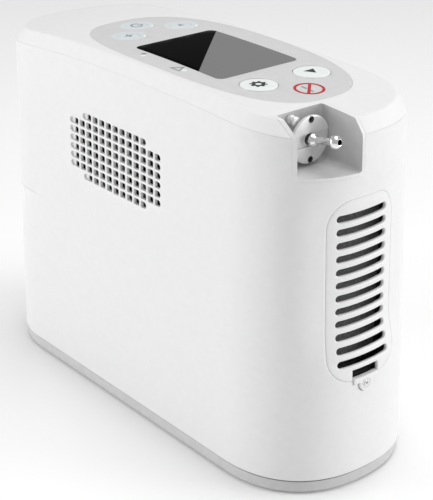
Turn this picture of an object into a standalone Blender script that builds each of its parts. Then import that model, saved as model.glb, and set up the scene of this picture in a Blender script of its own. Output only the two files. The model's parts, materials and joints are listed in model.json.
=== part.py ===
"""Portable oxygen concentrator, modelled as an assembly of separate parts.

Metres, +Z up. +X is the end with the outlet and the intake filter, -Y is the side with the grille.
The origin is on the ground under the middle of the body.
"""

import math

import bmesh
import bpy
from mathutils import Matrix, Vector

MM = 0.001
GAP = 0.3 * MM

# Body envelope
HALF_LENGTH = 111.0 * MM
HALF_WIDTH = 42.5 * MM
TOP = 162.0 * MM
FOOT_HEIGHT = 1.0 * MM
DRAFT = 4.0 * MM
NEAR_END = {"length": 43.0 * MM, "power": 2.3}
FAR_END = {"length": 39.0 * MM, "power": 2.05}
NEAR_CROWN = 3.5 * MM
FAR_CROWN = 5.9 * MM
CROWN_REACH = 100.0 * MM
END_SEGMENTS = 16
SIDE_STATIONS = 5

# Walls, chamfer and base band
WALL = 2.2 * MM
CHAMFER_HEIGHT = 5.1 * MM
CHAMFER_WIDTH = 4.3 * MM
CHAMFER_WALL = WALL * math.hypot(CHAMFER_HEIGHT, CHAMFER_WIDTH) / CHAMFER_HEIGHT
LIP_HEIGHT = 2.5 * MM
BASE_TOP = 6.5 * MM
BASE_INSET = 0.8 * MM
BASE_FLOOR = 3.6 * MM
BASE_WALL_INSET = 3.2 * MM

# Finger scoop across the far end
SCOOP_LINE = 82.7 * MM
SCOOP_FOOT = 52.0 * MM
SCOOP_DEPTH = 1.5 * MM
SCOOP_START = -58.0 * MM
SCOOP_FULL = -82.0 * MM

# Shallow dish in the near end, around the filter cover
DISH_DEPTH = 2.9 * MM
DISH_BOTTOM = 52.0 * MM
DISH_TOP = 137.0 * MM
DISH_RISE = 22.0 * MM
DISH_FALL = 16.0 * MM
DISH_HALF_WIDTH = 17.0 * MM
DISH_FADE = 17.0 * MM

# Side grille: rows of holes between ribs
GRILLE_X = -38.9 * MM
GRILLE_FIRST_RIB = -32.1 * MM
GRILLE_PITCH = 4.9 * MM
GRILLE_RIB = 1.35 * MM
GRILLE_COLUMNS = 13
GRILLE_ROWS = 8
GRILLE_TOP_ROW = 131.7 * MM
GRILLE_ROW_PITCH = 3.98 * MM
GRILLE_HOLE_HEIGHT = 2.85 * MM
EXHAUST_SLOT_LENGTH = 62.0 * MM

# Control panel and display
PANEL_CENTRE = Vector((12.0, 0.8, 0.0)) * MM
PANEL_HALF_LENGTH = 70.0 * MM
PANEL_HALF_WIDTH = 32.0 * MM
PANEL_POWER = 2.7
PANEL_THICKNESS = 0.5 * MM
PANEL_RECESS = 0.8 * MM
SCREEN_CENTRE = Vector((13.5, 0.2, 0.0)) * MM
SCREEN_LENGTH = 57.0 * MM
SCREEN_WIDTH = 42.5 * MM
SCREEN_CORNER = 3.2 * MM
GLASS_THICKNESS = 1.6 * MM
BOARD_Z = 152.0 * MM
BOARD_THICKNESS = 1.6 * MM
KEY_TRAVEL = 0.5 * MM
FLANGE_DROP = 0.9 * MM
LARGE_KEY_RADIUS = 7.7 * MM
SMALL_KEY_RADIUS = 5.0 * MM
LED_RADIUS = 0.8 * MM
LED_OFFSET = Vector((5.2, 4.7, 0.0)) * MM
LARGE_KEYS = {"settings_key": Vector((55.6, -12.5, 0.0)) * MM, "select_key": Vector((56.5, 15.0, 0.0)) * MM}
SMALL_KEYS = {
    "power_key": Vector((-44.4, 2.1, 0.0)) * MM,
    "flow_key": Vector((-31.6, -11.6, 0.0)) * MM,
    "mute_key": Vector((-30.2, 16.2, 0.0)) * MM,
}

# Outlet pocket and nozzle
POCKET_LOW = Vector((84.5, -29.2, 138.0)) * MM
POCKET_HIGH_Y = -5.8 * MM
POCKET_WALL = 1.3 * MM
OUTLET_AXIS = Vector((0.0, -16.4, 148.7)) * MM
FLANGE_FRONT = 90.7 * MM
FLANGE_RADIUS = 9.6 * MM
FLANGE_THICKNESS = 1.6 * MM
FLANGE_SCREW_RADIUS = 8.0 * MM
NOZZLE_TILT = math.radians(12.0)

# Intake filter cover on the near end
COVER_Y = -1.2 * MM
COVER_HALF_WIDTH = 18.2 * MM
COVER_BOTTOM = 49.5 * MM
COVER_TOP = 126.8 * MM
COVER_CORNER = 12.0 * MM
COVER_THICKNESS = 2.0 * MM
LOUVRE_COUNT = 12
LOUVRE_TOP = 119.1 * MM
LOUVRE_PITCH = 5.58 * MM
LOUVRE_HALF_LENGTH = 13.6 * MM
LOUVRE_HEIGHT = 2.6 * MM
WINDOW_HALF_WIDTH = 7.0 * MM
WINDOW_LOW = 50.4 * MM
WINDOW_HIGH = 54.2 * MM
LUG_Z = 47.0 * MM
LUG_RADIUS = 3.8 * MM

# Battery, latch and power socket in the far end
BATTERY_HALF_WIDTH = 26.0 * MM
BATTERY_LOW = 10.0 * MM
BATTERY_HIGH = 80.0 * MM
BATTERY_FRONT = -12.0 * MM
BAY_WALL = 1.4 * MM
BAY_CLEARANCE = 0.6 * MM
LATCH_Z = 93.0 * MM
SOCKET_Z = 122.0 * MM

# Compressor
MOTOR_CENTRE = Vector((46.0, 0.0, 36.0)) * MM
MOTOR_RADIUS = 21.0 * MM
MOTOR_BORE = 13.0 * MM

PART_NAME = "oxygen_concentrator"


def clear_scene():
    for item in list(bpy.data.objects):
        bpy.data.objects.remove(item, do_unlink=True)


def new_collection(name):
    group = bpy.data.collections.new(name)
    bpy.context.scene.collection.children.link(group)
    return group


def make_material(name, colour, roughness, metallic=0.0):
    material = bpy.data.materials.new(name)
    material.use_nodes = True
    shader = material.node_tree.nodes["Principled BSDF"]
    shader.inputs["Base Color"].default_value = (*colour, 1.0)
    shader.inputs["Roughness"].default_value = roughness
    shader.inputs["Metallic"].default_value = metallic
    return material


clear_scene()
PARTS = new_collection(PART_NAME)
CUTTERS = new_collection("cutters")

FINISH = {
    "white_shell": ((0.86, 0.86, 0.86), 0.38, 0.0),
    "grey_base": ((0.56, 0.57, 0.58), 0.5, 0.0),
    "panel_film": ((0.66, 0.68, 0.68), 0.45, 0.0),
    "key_white": ((0.80, 0.84, 0.84), 0.4, 0.0),
    "display_glass": ((0.02, 0.02, 0.02), 0.08, 0.0),
    "dark_plastic": ((0.04, 0.04, 0.045), 0.55, 0.0),
    "black_rubber": ((0.03, 0.03, 0.03), 0.8, 0.0),
    "filter_foam": ((0.07, 0.07, 0.075), 0.95, 0.0),
    "satin_metal": ((0.72, 0.72, 0.71), 0.35, 1.0),
    "chrome": ((0.85, 0.85, 0.85), 0.12, 1.0),
    "aluminium": ((0.75, 0.76, 0.78), 0.4, 1.0),
    "circuit_green": ((0.05, 0.22, 0.10), 0.5, 0.0),
    "clear_tube": ((0.75, 0.78, 0.78), 0.3, 0.0),
}
MATERIALS = {name: make_material(name, *values) for name, values in FINISH.items()}


def add_object(name, mesh, finish, location=(0.0, 0.0, 0.0)):
    """Put a mesh in the parts collection, or in the cutters when it has no finish."""
    item = bpy.data.objects.new(name, mesh)
    item.location = location
    if finish is None:
        CUTTERS.objects.link(item)
        item.hide_render = True
        item.display_type = "WIRE"
    else:
        PARTS.objects.link(item)
        mesh.materials.append(MATERIALS[finish])
    return item


def finish_mesh(name, bm):
    bmesh.ops.recalc_face_normals(bm, faces=bm.faces)
    mesh = bpy.data.meshes.new(name)
    bm.to_mesh(mesh)
    bm.free()
    return mesh


def add_bevel(item, width, segments=1):
    bevel = item.modifiers.new("edge_round", "BEVEL")
    bevel.width = width
    bevel.segments = segments
    bevel.limit_method = "ANGLE"
    bevel.angle_limit = math.radians(40.0)


def box(name, low, high, finish, bevel=0.0):
    """A box between two corners, placed by its centre."""
    low, high = Vector(low), Vector(high)
    bm = bmesh.new()
    bmesh.ops.create_cube(bm, size=1.0)
    bmesh.ops.scale(bm, vec=high - low, verts=bm.verts)
    item = add_object(name, finish_mesh(name, bm), finish, (low + high) / 2)
    if bevel:
        add_bevel(item, bevel)
    return item


AXIS_TURN = {
    "X": Matrix.Rotation(math.radians(90.0), 4, "Y"),
    "Y": Matrix.Rotation(math.radians(-90.0), 4, "X"),
    "Z": Matrix.Identity(4),
}


def cylinder(name, centre, radius, length, axis, finish, segments=32):
    bm = bmesh.new()
    bmesh.ops.create_cone(bm, cap_ends=True, segments=segments, radius1=radius, radius2=radius, depth=length)
    bmesh.ops.transform(bm, matrix=AXIS_TURN[axis], verts=bm.verts)
    item = add_object(name, finish_mesh(name, bm), finish, centre)
    smooth(item)
    return item


def smooth(item, angle=35.0):
    item.data.shade_smooth()
    item.data.set_sharp_from_angle(angle=math.radians(angle))


def turned(name, centre, profile, finish, axis="Z", closed=False, steps=32):
    """A turned piece: (radius, height) points run down the outer side, top to bottom."""
    bm = bmesh.new()
    points = [bm.verts.new((radius, 0.0, height)) for radius, height in profile]
    for first, second in zip(points, points[1:]):
        bm.edges.new((first, second))
    if closed:
        bm.edges.new((points[-1], points[0]))
    mesh = bpy.data.meshes.new(name)
    bm.to_mesh(mesh)
    bm.free()
    item = add_object(name, mesh, finish, centre)
    item.rotation_euler = AXIS_TURN[axis].to_euler()
    screw = item.modifiers.new("turn", "SCREW")
    screw.steps = steps
    screw.render_steps = steps
    screw.use_merge_vertices = True
    screw.merge_threshold = 0.00001
    return item


def boolean(item, other, operation="DIFFERENCE"):
    step = item.modifiers.new(operation.lower() + "_" + other.name, "BOOLEAN")
    step.operation = operation
    step.object = other
    step.solver = "EXACT"


def cut(item, *cutters):
    for cutter in cutters:
        boolean(item, cutter)


def join(item, *pieces):
    """Unite helper shapes with a piece; the helpers themselves aren't parts."""
    for piece in pieces:
        boolean(item, piece, "UNION")


# ---------------------------------------------------------------------------------------------
# Body envelope


def crown(x):
    """Height of the deck: level in the middle and falling gently towards both ends."""
    fall = NEAR_CROWN if x > 0.0 else FAR_CROWN
    return TOP - fall * (x / CROWN_REACH) ** 2


def draft(z):
    return DRAFT * (z - FOOT_HEIGHT) / (TOP - FOOT_HEIGHT)


def end_half(z, inset, end):
    """Points of one end from its tip (y = 0) to the straight side, for the +Y half."""
    shrink = draft(z) + inset
    tip = HALF_LENGTH - shrink
    width = HALF_WIDTH - shrink
    length = end["length"] - shrink
    points = []
    for step in range(END_SEGMENTS // 2 + 1):
        angle = math.pi / 2 * step / (END_SEGMENTS // 2)
        x = tip - length + length * math.cos(angle) ** (2.0 / end["power"])
        y = width * math.sin(angle) ** (2.0 / end["power"])
        points.append((x, y))
    return points


def half_outline(z, inset=0.0):
    """The +Y half of the plan, from the near tip to the far tip."""
    near = end_half(z, inset, NEAR_END)
    far = [(-x, y) for x, y in reversed(end_half(z, inset, FAR_END))]
    start, stop = near[-1], far[0]
    side = []
    for step in range(1, SIDE_STATIONS):
        part = step / SIDE_STATIONS
        side.append((start[0] + (stop[0] - start[0]) * part, start[1]))
    return near + side + far


def smooth_step(value):
    value = min(max(value, 0.0), 1.0)
    return value * value * (3.0 - 2.0 * value)


def scoop(x, z):
    """Depth of the finger scoop under its line on the far end."""
    if z > SCOOP_LINE or z < SCOOP_FOOT:
        return 0.0
    along = smooth_step((SCOOP_START - x) / (SCOOP_START - SCOOP_FULL))
    upward = smooth_step((z - SCOOP_FOOT) / (SCOOP_LINE - SCOOP_FOOT))
    return SCOOP_DEPTH * along * upward


def dish(x, y, z):
    """Depth of the shallow dish around the filter cover."""
    if x < 0.0:
        return 0.0
    across = smooth_step((DISH_HALF_WIDTH + DISH_FADE - abs(y - COVER_Y)) / DISH_FADE)
    upward = smooth_step((z - DISH_BOTTOM) / DISH_RISE) * smooth_step((DISH_TOP - z) / DISH_FALL)
    return DISH_DEPTH * across * upward


def ring(z, inset=0.0, height=None):
    """One level of the body: a closed ring of points, with the scoop and the dish pulled in."""
    upper = half_outline(z, inset)
    lower = [(x, -y) for x, y in reversed(upper[1:-1])]
    outline = upper + lower
    count = len(outline)
    points = []
    for index, (x, y) in enumerate(outline):
        before = Vector(outline[index - 1])
        after = Vector(outline[(index + 1) % count])
        along = (after - before).normalized()
        inward = Vector((-along.y, along.x))
        moved = Vector((x, y)) + inward * (scoop(x, z) + dish(x, y, z))
        level = z if height is None else height(moved.x)
        points.append(Vector((moved.x, moved.y, level)))
    return points


def loft(bm, rings):
    """Skin successive rings; returns the vertices ring by ring."""
    rows = [[bm.verts.new(point) for point in points] for points in rings]
    for low, high in zip(rows, rows[1:]):
        count = len(low)
        for index in range(count):
            follow = (index + 1) % count
            bm.faces.new((low[index], low[follow], high[follow], high[index]))
    return rows


def close_across(bm, row):
    """Close a ring with strips that run straight across, so that they follow the crown."""
    count = len(row)
    half = count // 2
    for index in range(half):
        first, second = row[index], row[index + 1]
        third, fourth = row[-index - 1], row[-index] if index else row[0]
        corners = [first, second, third, fourth]
        unique = [corner for place, corner in enumerate(corners) if corner not in corners[:place]]
        bm.faces.new(unique)


def capped_loft(name, rings, finish):
    bm = bmesh.new()
    rows = loft(bm, rings)
    close_across(bm, rows[0])
    close_across(bm, rows[-1])
    return add_object(name, finish_mesh(name, bm), finish)


BODY_LEVELS = [
    BASE_TOP + GAP, 34 * MM, DISH_BOTTOM, 59 * MM, 66 * MM, 74 * MM, SCOOP_LINE - 0.02 * MM,
    SCOOP_LINE + 0.6 * MM, DISH_TOP - DISH_FALL, 129 * MM, DISH_TOP,
]
SEAM_Z = TOP - CHAMFER_HEIGHT


def seam_height(x):
    return crown(x) - CHAMFER_HEIGHT


def body_rings(inset=0.0):
    rings = [ring(z, inset) for z in BODY_LEVELS]
    rings.append(ring(SEAM_Z, inset, lambda x: seam_height(x) - GAP))
    return rings


def envelope(name, inset):
    """The whole body as one closed guide, for pieces that follow its surface."""
    rings = body_rings(inset)
    rings[0] = ring(FOOT_HEIGHT, inset)
    rings.append(ring(TOP, inset + CHAMFER_WIDTH, crown))
    return capped_loft(name, rings, None)


def crowned_plate(name, outline, top_offset, thickness, finish):
    """A plate of any symmetric outline whose faces follow the crown of the deck."""
    lower = [Vector((x, y, crown(x) + top_offset - thickness)) for x, y in outline]
    upper = [Vector((x, y, crown(x) + top_offset)) for x, y in outline]
    return capped_loft(name, [lower, upper], finish)


def oval(centre, half_length, half_width, power, segments=40):
    points = []
    for step in range(segments):
        angle = 2.0 * math.pi * step / segments
        c, s = math.cos(angle), math.sin(angle)
        x = math.copysign(half_length * abs(c) ** (2.0 / power), c)
        y = math.copysign(half_width * abs(s) ** (2.0 / power), s)
        points.append((centre.x + x, centre.y + y))
    return points


def rounded_rectangle(centre, half_x, half_y, radius, corner_steps=4, side_steps=4):
    """Corners as arcs, starting at the middle of the +X side so that the halves mirror in Y."""
    points = [(centre.x + half_x, centre.y)]
    corners = [(1, 1, 0), (-1, 1, 90), (-1, -1, 180), (1, -1, 270)]
    for order, (sign_x, sign_y, start) in enumerate(corners):
        for step in range(corner_steps + 1):
            angle = math.radians(start + 90.0 * step / corner_steps)
            x = sign_x * (half_x - radius) + radius * math.cos(angle)
            y = sign_y * (half_y - radius) + radius * math.sin(angle)
            points.append((centre.x + x, centre.y + y))
        if order == 0 or order == 2:
            direction = -1 if order == 0 else 1
            for step in range(1, side_steps):
                x = direction * (2.0 * step / side_steps - 1.0) * (half_x - radius)
                points.append((centre.x + x, centre.y + sign_y * half_y))
        if order == 1:
            points.append((centre.x - half_x, centre.y))
    return points


def prism_x(name, outline, x_low, x_high):
    """A guide with a (y, z) outline, running along X."""
    bm = bmesh.new()
    back = [bm.verts.new((x_low, y, z)) for y, z in outline]
    front = [bm.verts.new((x_high, y, z)) for y, z in outline]
    count = len(outline)
    for index in range(count):
        follow = (index + 1) % count
        bm.faces.new((back[index], back[follow], front[follow], front[index]))
    bm.faces.new(back)
    bm.faces.new(front)
    return add_object(name, finish_mesh(name, bm), None)


def slot_outline(centre_y, centre_z, half_length, half_height, arc_steps=4):
    """A round-ended slot in the Y-Z plane."""
    points = []
    for side, start in ((1, -90), (-1, 90)):
        for step in range(arc_steps + 1):
            angle = math.radians(start + 180.0 * step / arc_steps)
            y = centre_y + side * (half_length - half_height) + half_height * math.cos(angle)
            points.append((y, centre_z + half_height * math.sin(angle)))
    return points


# ---------------------------------------------------------------------------------------------
# Outer shell


OUTER = envelope("outer_guide", 0.0)
INNER_COVER = envelope("cover_inner_guide", COVER_THICKNESS)
INNER_LATCH = envelope("latch_inner_guide", 1.6 * MM)


def pocket_box(name, grow, finish=None):
    low = POCKET_LOW - Vector((grow, grow, grow))
    high = (HALF_LENGTH + 10 * MM, POCKET_HIGH_Y + grow, TOP + 10 * MM)
    return box(name, low, high, finish)


def cover_outline(grow):
    centre = Vector((COVER_Y, (COVER_TOP + COVER_BOTTOM) / 2, 0.0))
    half_height = (COVER_TOP - COVER_BOTTOM) / 2 + grow
    return rounded_rectangle(centre, COVER_HALF_WIDTH + grow, half_height, COVER_CORNER + grow, 6, 1)


def latch_outline(grow):
    """A plate as wide as the window with a round lug under it."""
    shoulder = LUG_Z + 0.6 * MM - grow
    width = WINDOW_HALF_WIDTH - 0.35 * MM + grow
    radius = LUG_RADIUS + grow
    points = [(COVER_Y + width, shoulder), (COVER_Y + width, WINDOW_LOW + grow)]
    points += [(COVER_Y - width, WINDOW_LOW + grow), (COVER_Y - width, shoulder)]
    start = math.asin(min((shoulder - LUG_Z) / radius, 1.0))
    for step in range(13):
        angle = math.pi - start + (math.pi + 2.0 * start) * step / 12
        points.append((COVER_Y + radius * math.cos(angle), LUG_Z + radius * math.sin(angle)))
    return points


def grille_cutter():
    """Every grille hole as its own box, the outer rows shorter by two holes at each end."""
    bm = bmesh.new()
    for row in range(GRILLE_ROWS):
        z = GRILLE_TOP_ROW - row * GRILLE_ROW_PITCH
        skip = 2 if row in (0, GRILLE_ROWS - 1) else 0
        for column in range(skip, GRILLE_COLUMNS - skip):
            left = GRILLE_FIRST_RIB + (column - 1) * GRILLE_PITCH + GRILLE_RIB / 2
            right = left + GRILLE_PITCH - GRILLE_RIB
            if column == skip:
                left += GRILLE_X - (GRILLE_FIRST_RIB - GRILLE_PITCH + GRILLE_RIB / 2)
            size = Vector((right - left, 4 * WALL, GRILLE_HOLE_HEIGHT))
            middle = Vector(((left + right) / 2, -HALF_WIDTH + WALL, z))
            matrix = Matrix.Translation(middle) @ Matrix.Diagonal((*size, 1.0))
            bmesh.ops.create_cube(bm, size=1.0, matrix=matrix)
    return add_object("grille_cutter", finish_mesh("grille_cutter", bm), None)


def exhaust_cutter():
    """Plain slots for the exhaust air on the +Y side."""
    bm = bmesh.new()
    middle_x = GRILLE_X + EXHAUST_SLOT_LENGTH / 2
    for row in range(GRILLE_ROWS):
        z = GRILLE_TOP_ROW - row * GRILLE_ROW_PITCH
        size = Vector((EXHAUST_SLOT_LENGTH, 4 * WALL, GRILLE_ROW_PITCH / 2))
        matrix = Matrix.Translation((middle_x, HALF_WIDTH - WALL, z)) @ Matrix.Diagonal((*size, 1.0))
        bmesh.ops.create_cube(bm, size=1.0, matrix=matrix)
    return add_object("exhaust_cutter", finish_mesh("exhaust_cutter", bm), None)


SCREW_PLACES = [Vector((x, y, 0.0)) * MM for x in (-66.0, 66.0) for y in (-35.2, 35.2)]
BOSS_RADIUS = 4.2 * MM
BOSS_OFFSET = 1.8 * MM


def build_housing():
    bm = bmesh.new()
    loft(bm, body_rings())
    housing = add_object("housing", finish_mesh("housing", bm), "white_shell")
    shell = housing.modifiers.new("wall", "SOLIDIFY")
    shell.thickness = WALL
    shell.offset = -1.0
    shell.use_even_offset = True
    for index, place in enumerate(SCREW_PLACES, 1):
        low = BASE_TOP + GAP
        centre = place + Vector((0.0, 0.0, low + 5.0 * MM))
        centre.y += math.copysign(BOSS_OFFSET, place.y)
        boss = cylinder(f"boss_guide_{index}", centre, BOSS_RADIUS, 10.0 * MM, "Z", None, 16)
        middle = place + Vector((0, 0, low + 3 * MM))
        hole = cylinder(f"boss_hole_{index}", middle, 1.6 * MM, 10 * MM, "Z", None, 12)
        join(housing, boss)
        cut(housing, hole)
    cut(housing, grille_cutter(), exhaust_cutter())
    cut(housing, pocket_box("pocket_opening", POCKET_WALL + GAP))
    cut(housing, prism_x("cover_opening", cover_outline(GAP), 90 * MM, 125 * MM))
    cut(housing, prism_x("latch_opening", latch_outline(GAP), 90 * MM, 125 * MM))
    grow = BAY_CLEARANCE
    battery_low = (-130 * MM, -BATTERY_HALF_WIDTH - grow, BATTERY_LOW - grow)
    battery_high = (-85 * MM, BATTERY_HALF_WIDTH + grow, BATTERY_HIGH + grow)
    cut(housing, box("battery_opening", battery_low, battery_high, None))
    latch_low = (-130 * MM, -9.4 * MM, LATCH_Z - 4.4 * MM)
    cut(housing, box("latch_hole", latch_low, (-85 * MM, 9.4 * MM, LATCH_Z + 4.4 * MM), None))
    cut(housing, cylinder("socket_hole", (-108 * MM, 0, SOCKET_Z), 5.9 * MM, 30 * MM, "X", None, 24))
    smooth(housing)
    return housing


def panel_hole(name, centre, radius):
    return cylinder(name, Vector((centre.x, centre.y, TOP)), radius, 30 * MM, "Z", None, 20)


def screen_cutter():
    half_x = SCREEN_LENGTH / 2 + GAP
    outline = rounded_rectangle(SCREEN_CENTRE, half_x, SCREEN_WIDTH / 2 + GAP, SCREEN_CORNER)
    return crowned_plate("screen_opening", outline, 5 * MM, 20 * MM, None)


def build_top():
    """The chamfered top cover with the recess and holes for the control panel."""
    lip_outside = WALL + 0.4 * MM
    lip_inside = lip_outside + 1.3 * MM
    rise_to_plane = (lip_inside - CHAMFER_WALL) * CHAMFER_HEIGHT / CHAMFER_WIDTH
    under_deck = CHAMFER_WALL + CHAMFER_WIDTH * (CHAMFER_HEIGHT - WALL) / CHAMFER_HEIGHT
    solid_rings = [
        ring(SEAM_Z, lip_outside, lambda x: seam_height(x) - LIP_HEIGHT),
        ring(SEAM_Z, lip_outside, seam_height),
        ring(SEAM_Z, 0.0, seam_height),
        ring(TOP, CHAMFER_WIDTH, crown),
    ]
    hollow_rings = [
        ring(SEAM_Z, lip_inside, lambda x: seam_height(x) - 2 * LIP_HEIGHT),
        ring(SEAM_Z, lip_inside, lambda x: seam_height(x) + rise_to_plane),
        ring(TOP, under_deck, lambda x: crown(x) - WALL),
    ]
    top = capped_loft("top_cover", solid_rings, "white_shell")
    cut(top, capped_loft("top_hollow", hollow_rings, None))
    recess = oval(PANEL_CENTRE, PANEL_HALF_LENGTH + GAP, PANEL_HALF_WIDTH + GAP, PANEL_POWER)
    openings = [
        crowned_plate("panel_recess", recess, 5 * MM, 5 * MM + PANEL_RECESS, None),
        screen_cutter(),
        pocket_box("pocket_mouth", POCKET_WALL + GAP),
    ]
    for name, place in LARGE_KEYS.items():
        openings.append(panel_hole(f"{name}_hole", place, LARGE_KEY_RADIUS + GAP))
    for name, place in SMALL_KEYS.items():
        openings.append(panel_hole(f"{name}_hole", place, SMALL_KEY_RADIUS + GAP))
        openings.append(panel_hole(f"{name}_led_hole", place + LED_OFFSET, LED_RADIUS + 0.2 * MM))
    cut(top, *openings)

    outline = oval(PANEL_CENTRE, PANEL_HALF_LENGTH, PANEL_HALF_WIDTH, PANEL_POWER)
    panel = crowned_plate("control_panel", outline, 0.0, PANEL_THICKNESS, "panel_film")
    cut(panel, *openings[1:2], *openings[3:])
    smooth(top)
    smooth(panel)


def build_keys():
    for name, place in LARGE_KEYS.items():
        level = crown(place.x)
        flange_top = WALL + FLANGE_DROP
        profile = [
            (0.0, 0.1 * MM), (LARGE_KEY_RADIUS - 0.3 * MM, 0.1 * MM), (LARGE_KEY_RADIUS, -0.2 * MM),
            (LARGE_KEY_RADIUS, -flange_top), (LARGE_KEY_RADIUS + 1.2 * MM, -flange_top),
            (LARGE_KEY_RADIUS + 1.2 * MM, -flange_top - 1.0 * MM), (2.0 * MM, -flange_top - 1.0 * MM),
            (2.0 * MM, -flange_top - 2.6 * MM), (0.0, -flange_top - 2.6 * MM),
        ]
        turned(name, Vector((place.x, place.y, level)), profile, "key_white", steps=20)
    for name, place in SMALL_KEYS.items():
        level = crown(place.x)
        stem = level - BOARD_Z - BOARD_THICKNESS - KEY_TRAVEL - 2 * GAP
        profile = [
            (0.0, 0.1 * MM), (SMALL_KEY_RADIUS - 0.3 * MM, 0.1 * MM), (SMALL_KEY_RADIUS, -0.2 * MM),
            (SMALL_KEY_RADIUS, -3.4 * MM), (2.0 * MM, -3.4 * MM), (2.0 * MM, -stem), (0.0, -stem),
        ]
        turned(name, Vector((place.x, place.y, level)), profile, "key_white", steps=16)
        light = place + LED_OFFSET
        light_top = crown(light.x) + 0.05 * MM
        light_low = BOARD_Z + BOARD_THICKNESS + GAP
        centre = Vector((light.x, light.y, (light_top + light_low) / 2))
        led = name.replace("key", "led")
        cylinder(led, centre, LED_RADIUS, light_top - light_low, "Z", "key_white", 10)


def build_display():
    outline = rounded_rectangle(SCREEN_CENTRE, SCREEN_LENGTH / 2, SCREEN_WIDTH / 2, SCREEN_CORNER)
    crowned_plate("screen_glass", outline, 0.0, GLASS_THICKNESS, "display_glass")
    corner = Vector((66.0, 25.0, 0.0)) * MM
    board_low = Vector((-52.0 * MM, -25.0 * MM, BOARD_Z))
    board_high = Vector((corner.x, corner.y, BOARD_Z + BOARD_THICKNESS))
    box("display_board", board_low, board_high, "circuit_green")
    profile = [(0.0, 5.0 * MM), (6.5 * MM, 5.0 * MM), (6.5 * MM, 0.0), (0.0, 0.0)]
    turned("alarm_buzzer", Vector((-62.0, 0.0, 149.0)) * MM, profile, "dark_plastic", steps=24)


def build_base():
    """The grey tray that closes the body underneath, with its feet and screws."""
    rounding = 0.7 * MM
    tray_rings = [
        ring(FOOT_HEIGHT, BASE_INSET + rounding),
        ring(FOOT_HEIGHT + rounding, BASE_INSET),
        ring(BASE_TOP, BASE_INSET),
    ]
    base = capped_loft("base_plate", tray_rings, "grey_base")
    hollow_rings = [ring(BASE_FLOOR, BASE_WALL_INSET), ring(BASE_TOP + 3 * MM, BASE_WALL_INSET)]
    cut(base, capped_loft("base_hollow", hollow_rings, None))
    foot_profile = [
        (0.0, 1.5 * MM), (7.0 * MM, 1.5 * MM), (7.0 * MM, 0.6 * MM), (6.4 * MM, 0.0), (0.0, 0.0),
    ]
    index = 0
    for x in (-72.0, 72.0):
        for y in (-24.0, 24.0):
            index += 1
            place = Vector((x, y, 0.0)) * MM
            turned(f"foot_{index}", place, foot_profile, "black_rubber", steps=16)
            cut(base, cylinder(f"foot_recess_{index}", place, 7.3 * MM, 3.6 * MM, "Z", None, 16))
    screw_profile = [
        (0.0, 14.0 * MM), (1.3 * MM, 14.0 * MM), (1.3 * MM, 3.2 * MM), (2.7 * MM, 3.2 * MM),
        (2.7 * MM, 1.6 * MM), (0.0, 1.6 * MM),
    ]
    for index, place in enumerate(SCREW_PLACES, 1):
        middle = place + Vector((0, 0, 4.6 * MM))
        pillar = cylinder(f"screw_pillar_{index}", middle, 4.2 * MM, 3.8 * MM, "Z", None, 16)
        join(base, pillar)
        turned(f"base_screw_{index}", place, screw_profile, "satin_metal", steps=12)
        head = cylinder(f"head_hole_{index}", place, 3.0 * MM, 7.0 * MM, "Z", None, 12)
        shank = cylinder(f"shank_hole_{index}", place, 1.6 * MM, 30 * MM, "Z", None, 12)
        cut(base, head, shank)
    smooth(base)


# ---------------------------------------------------------------------------------------------
# Near end: outlet pocket, nozzle and filter cover


def build_pocket():
    pocket = pocket_box("outlet_pocket", POCKET_WALL, "white_shell")
    boolean(pocket, OUTER, "INTERSECT")
    cut(pocket, pocket_box("pocket_hollow", 0.0))
    centre = Vector((POCKET_LOW.x, OUTLET_AXIS.y, OUTLET_AXIS.z))
    cut(pocket, cylinder("outlet_bore", centre, 3.6 * MM, 12 * MM, "X", None, 20))
    pin_place = Vector((POCKET_LOW.x, -22.3 * MM, 156.6 * MM))
    cut(pocket, cylinder("pin_bore", pin_place, 1.1 * MM, 12 * MM, "X", None, 12))


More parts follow.
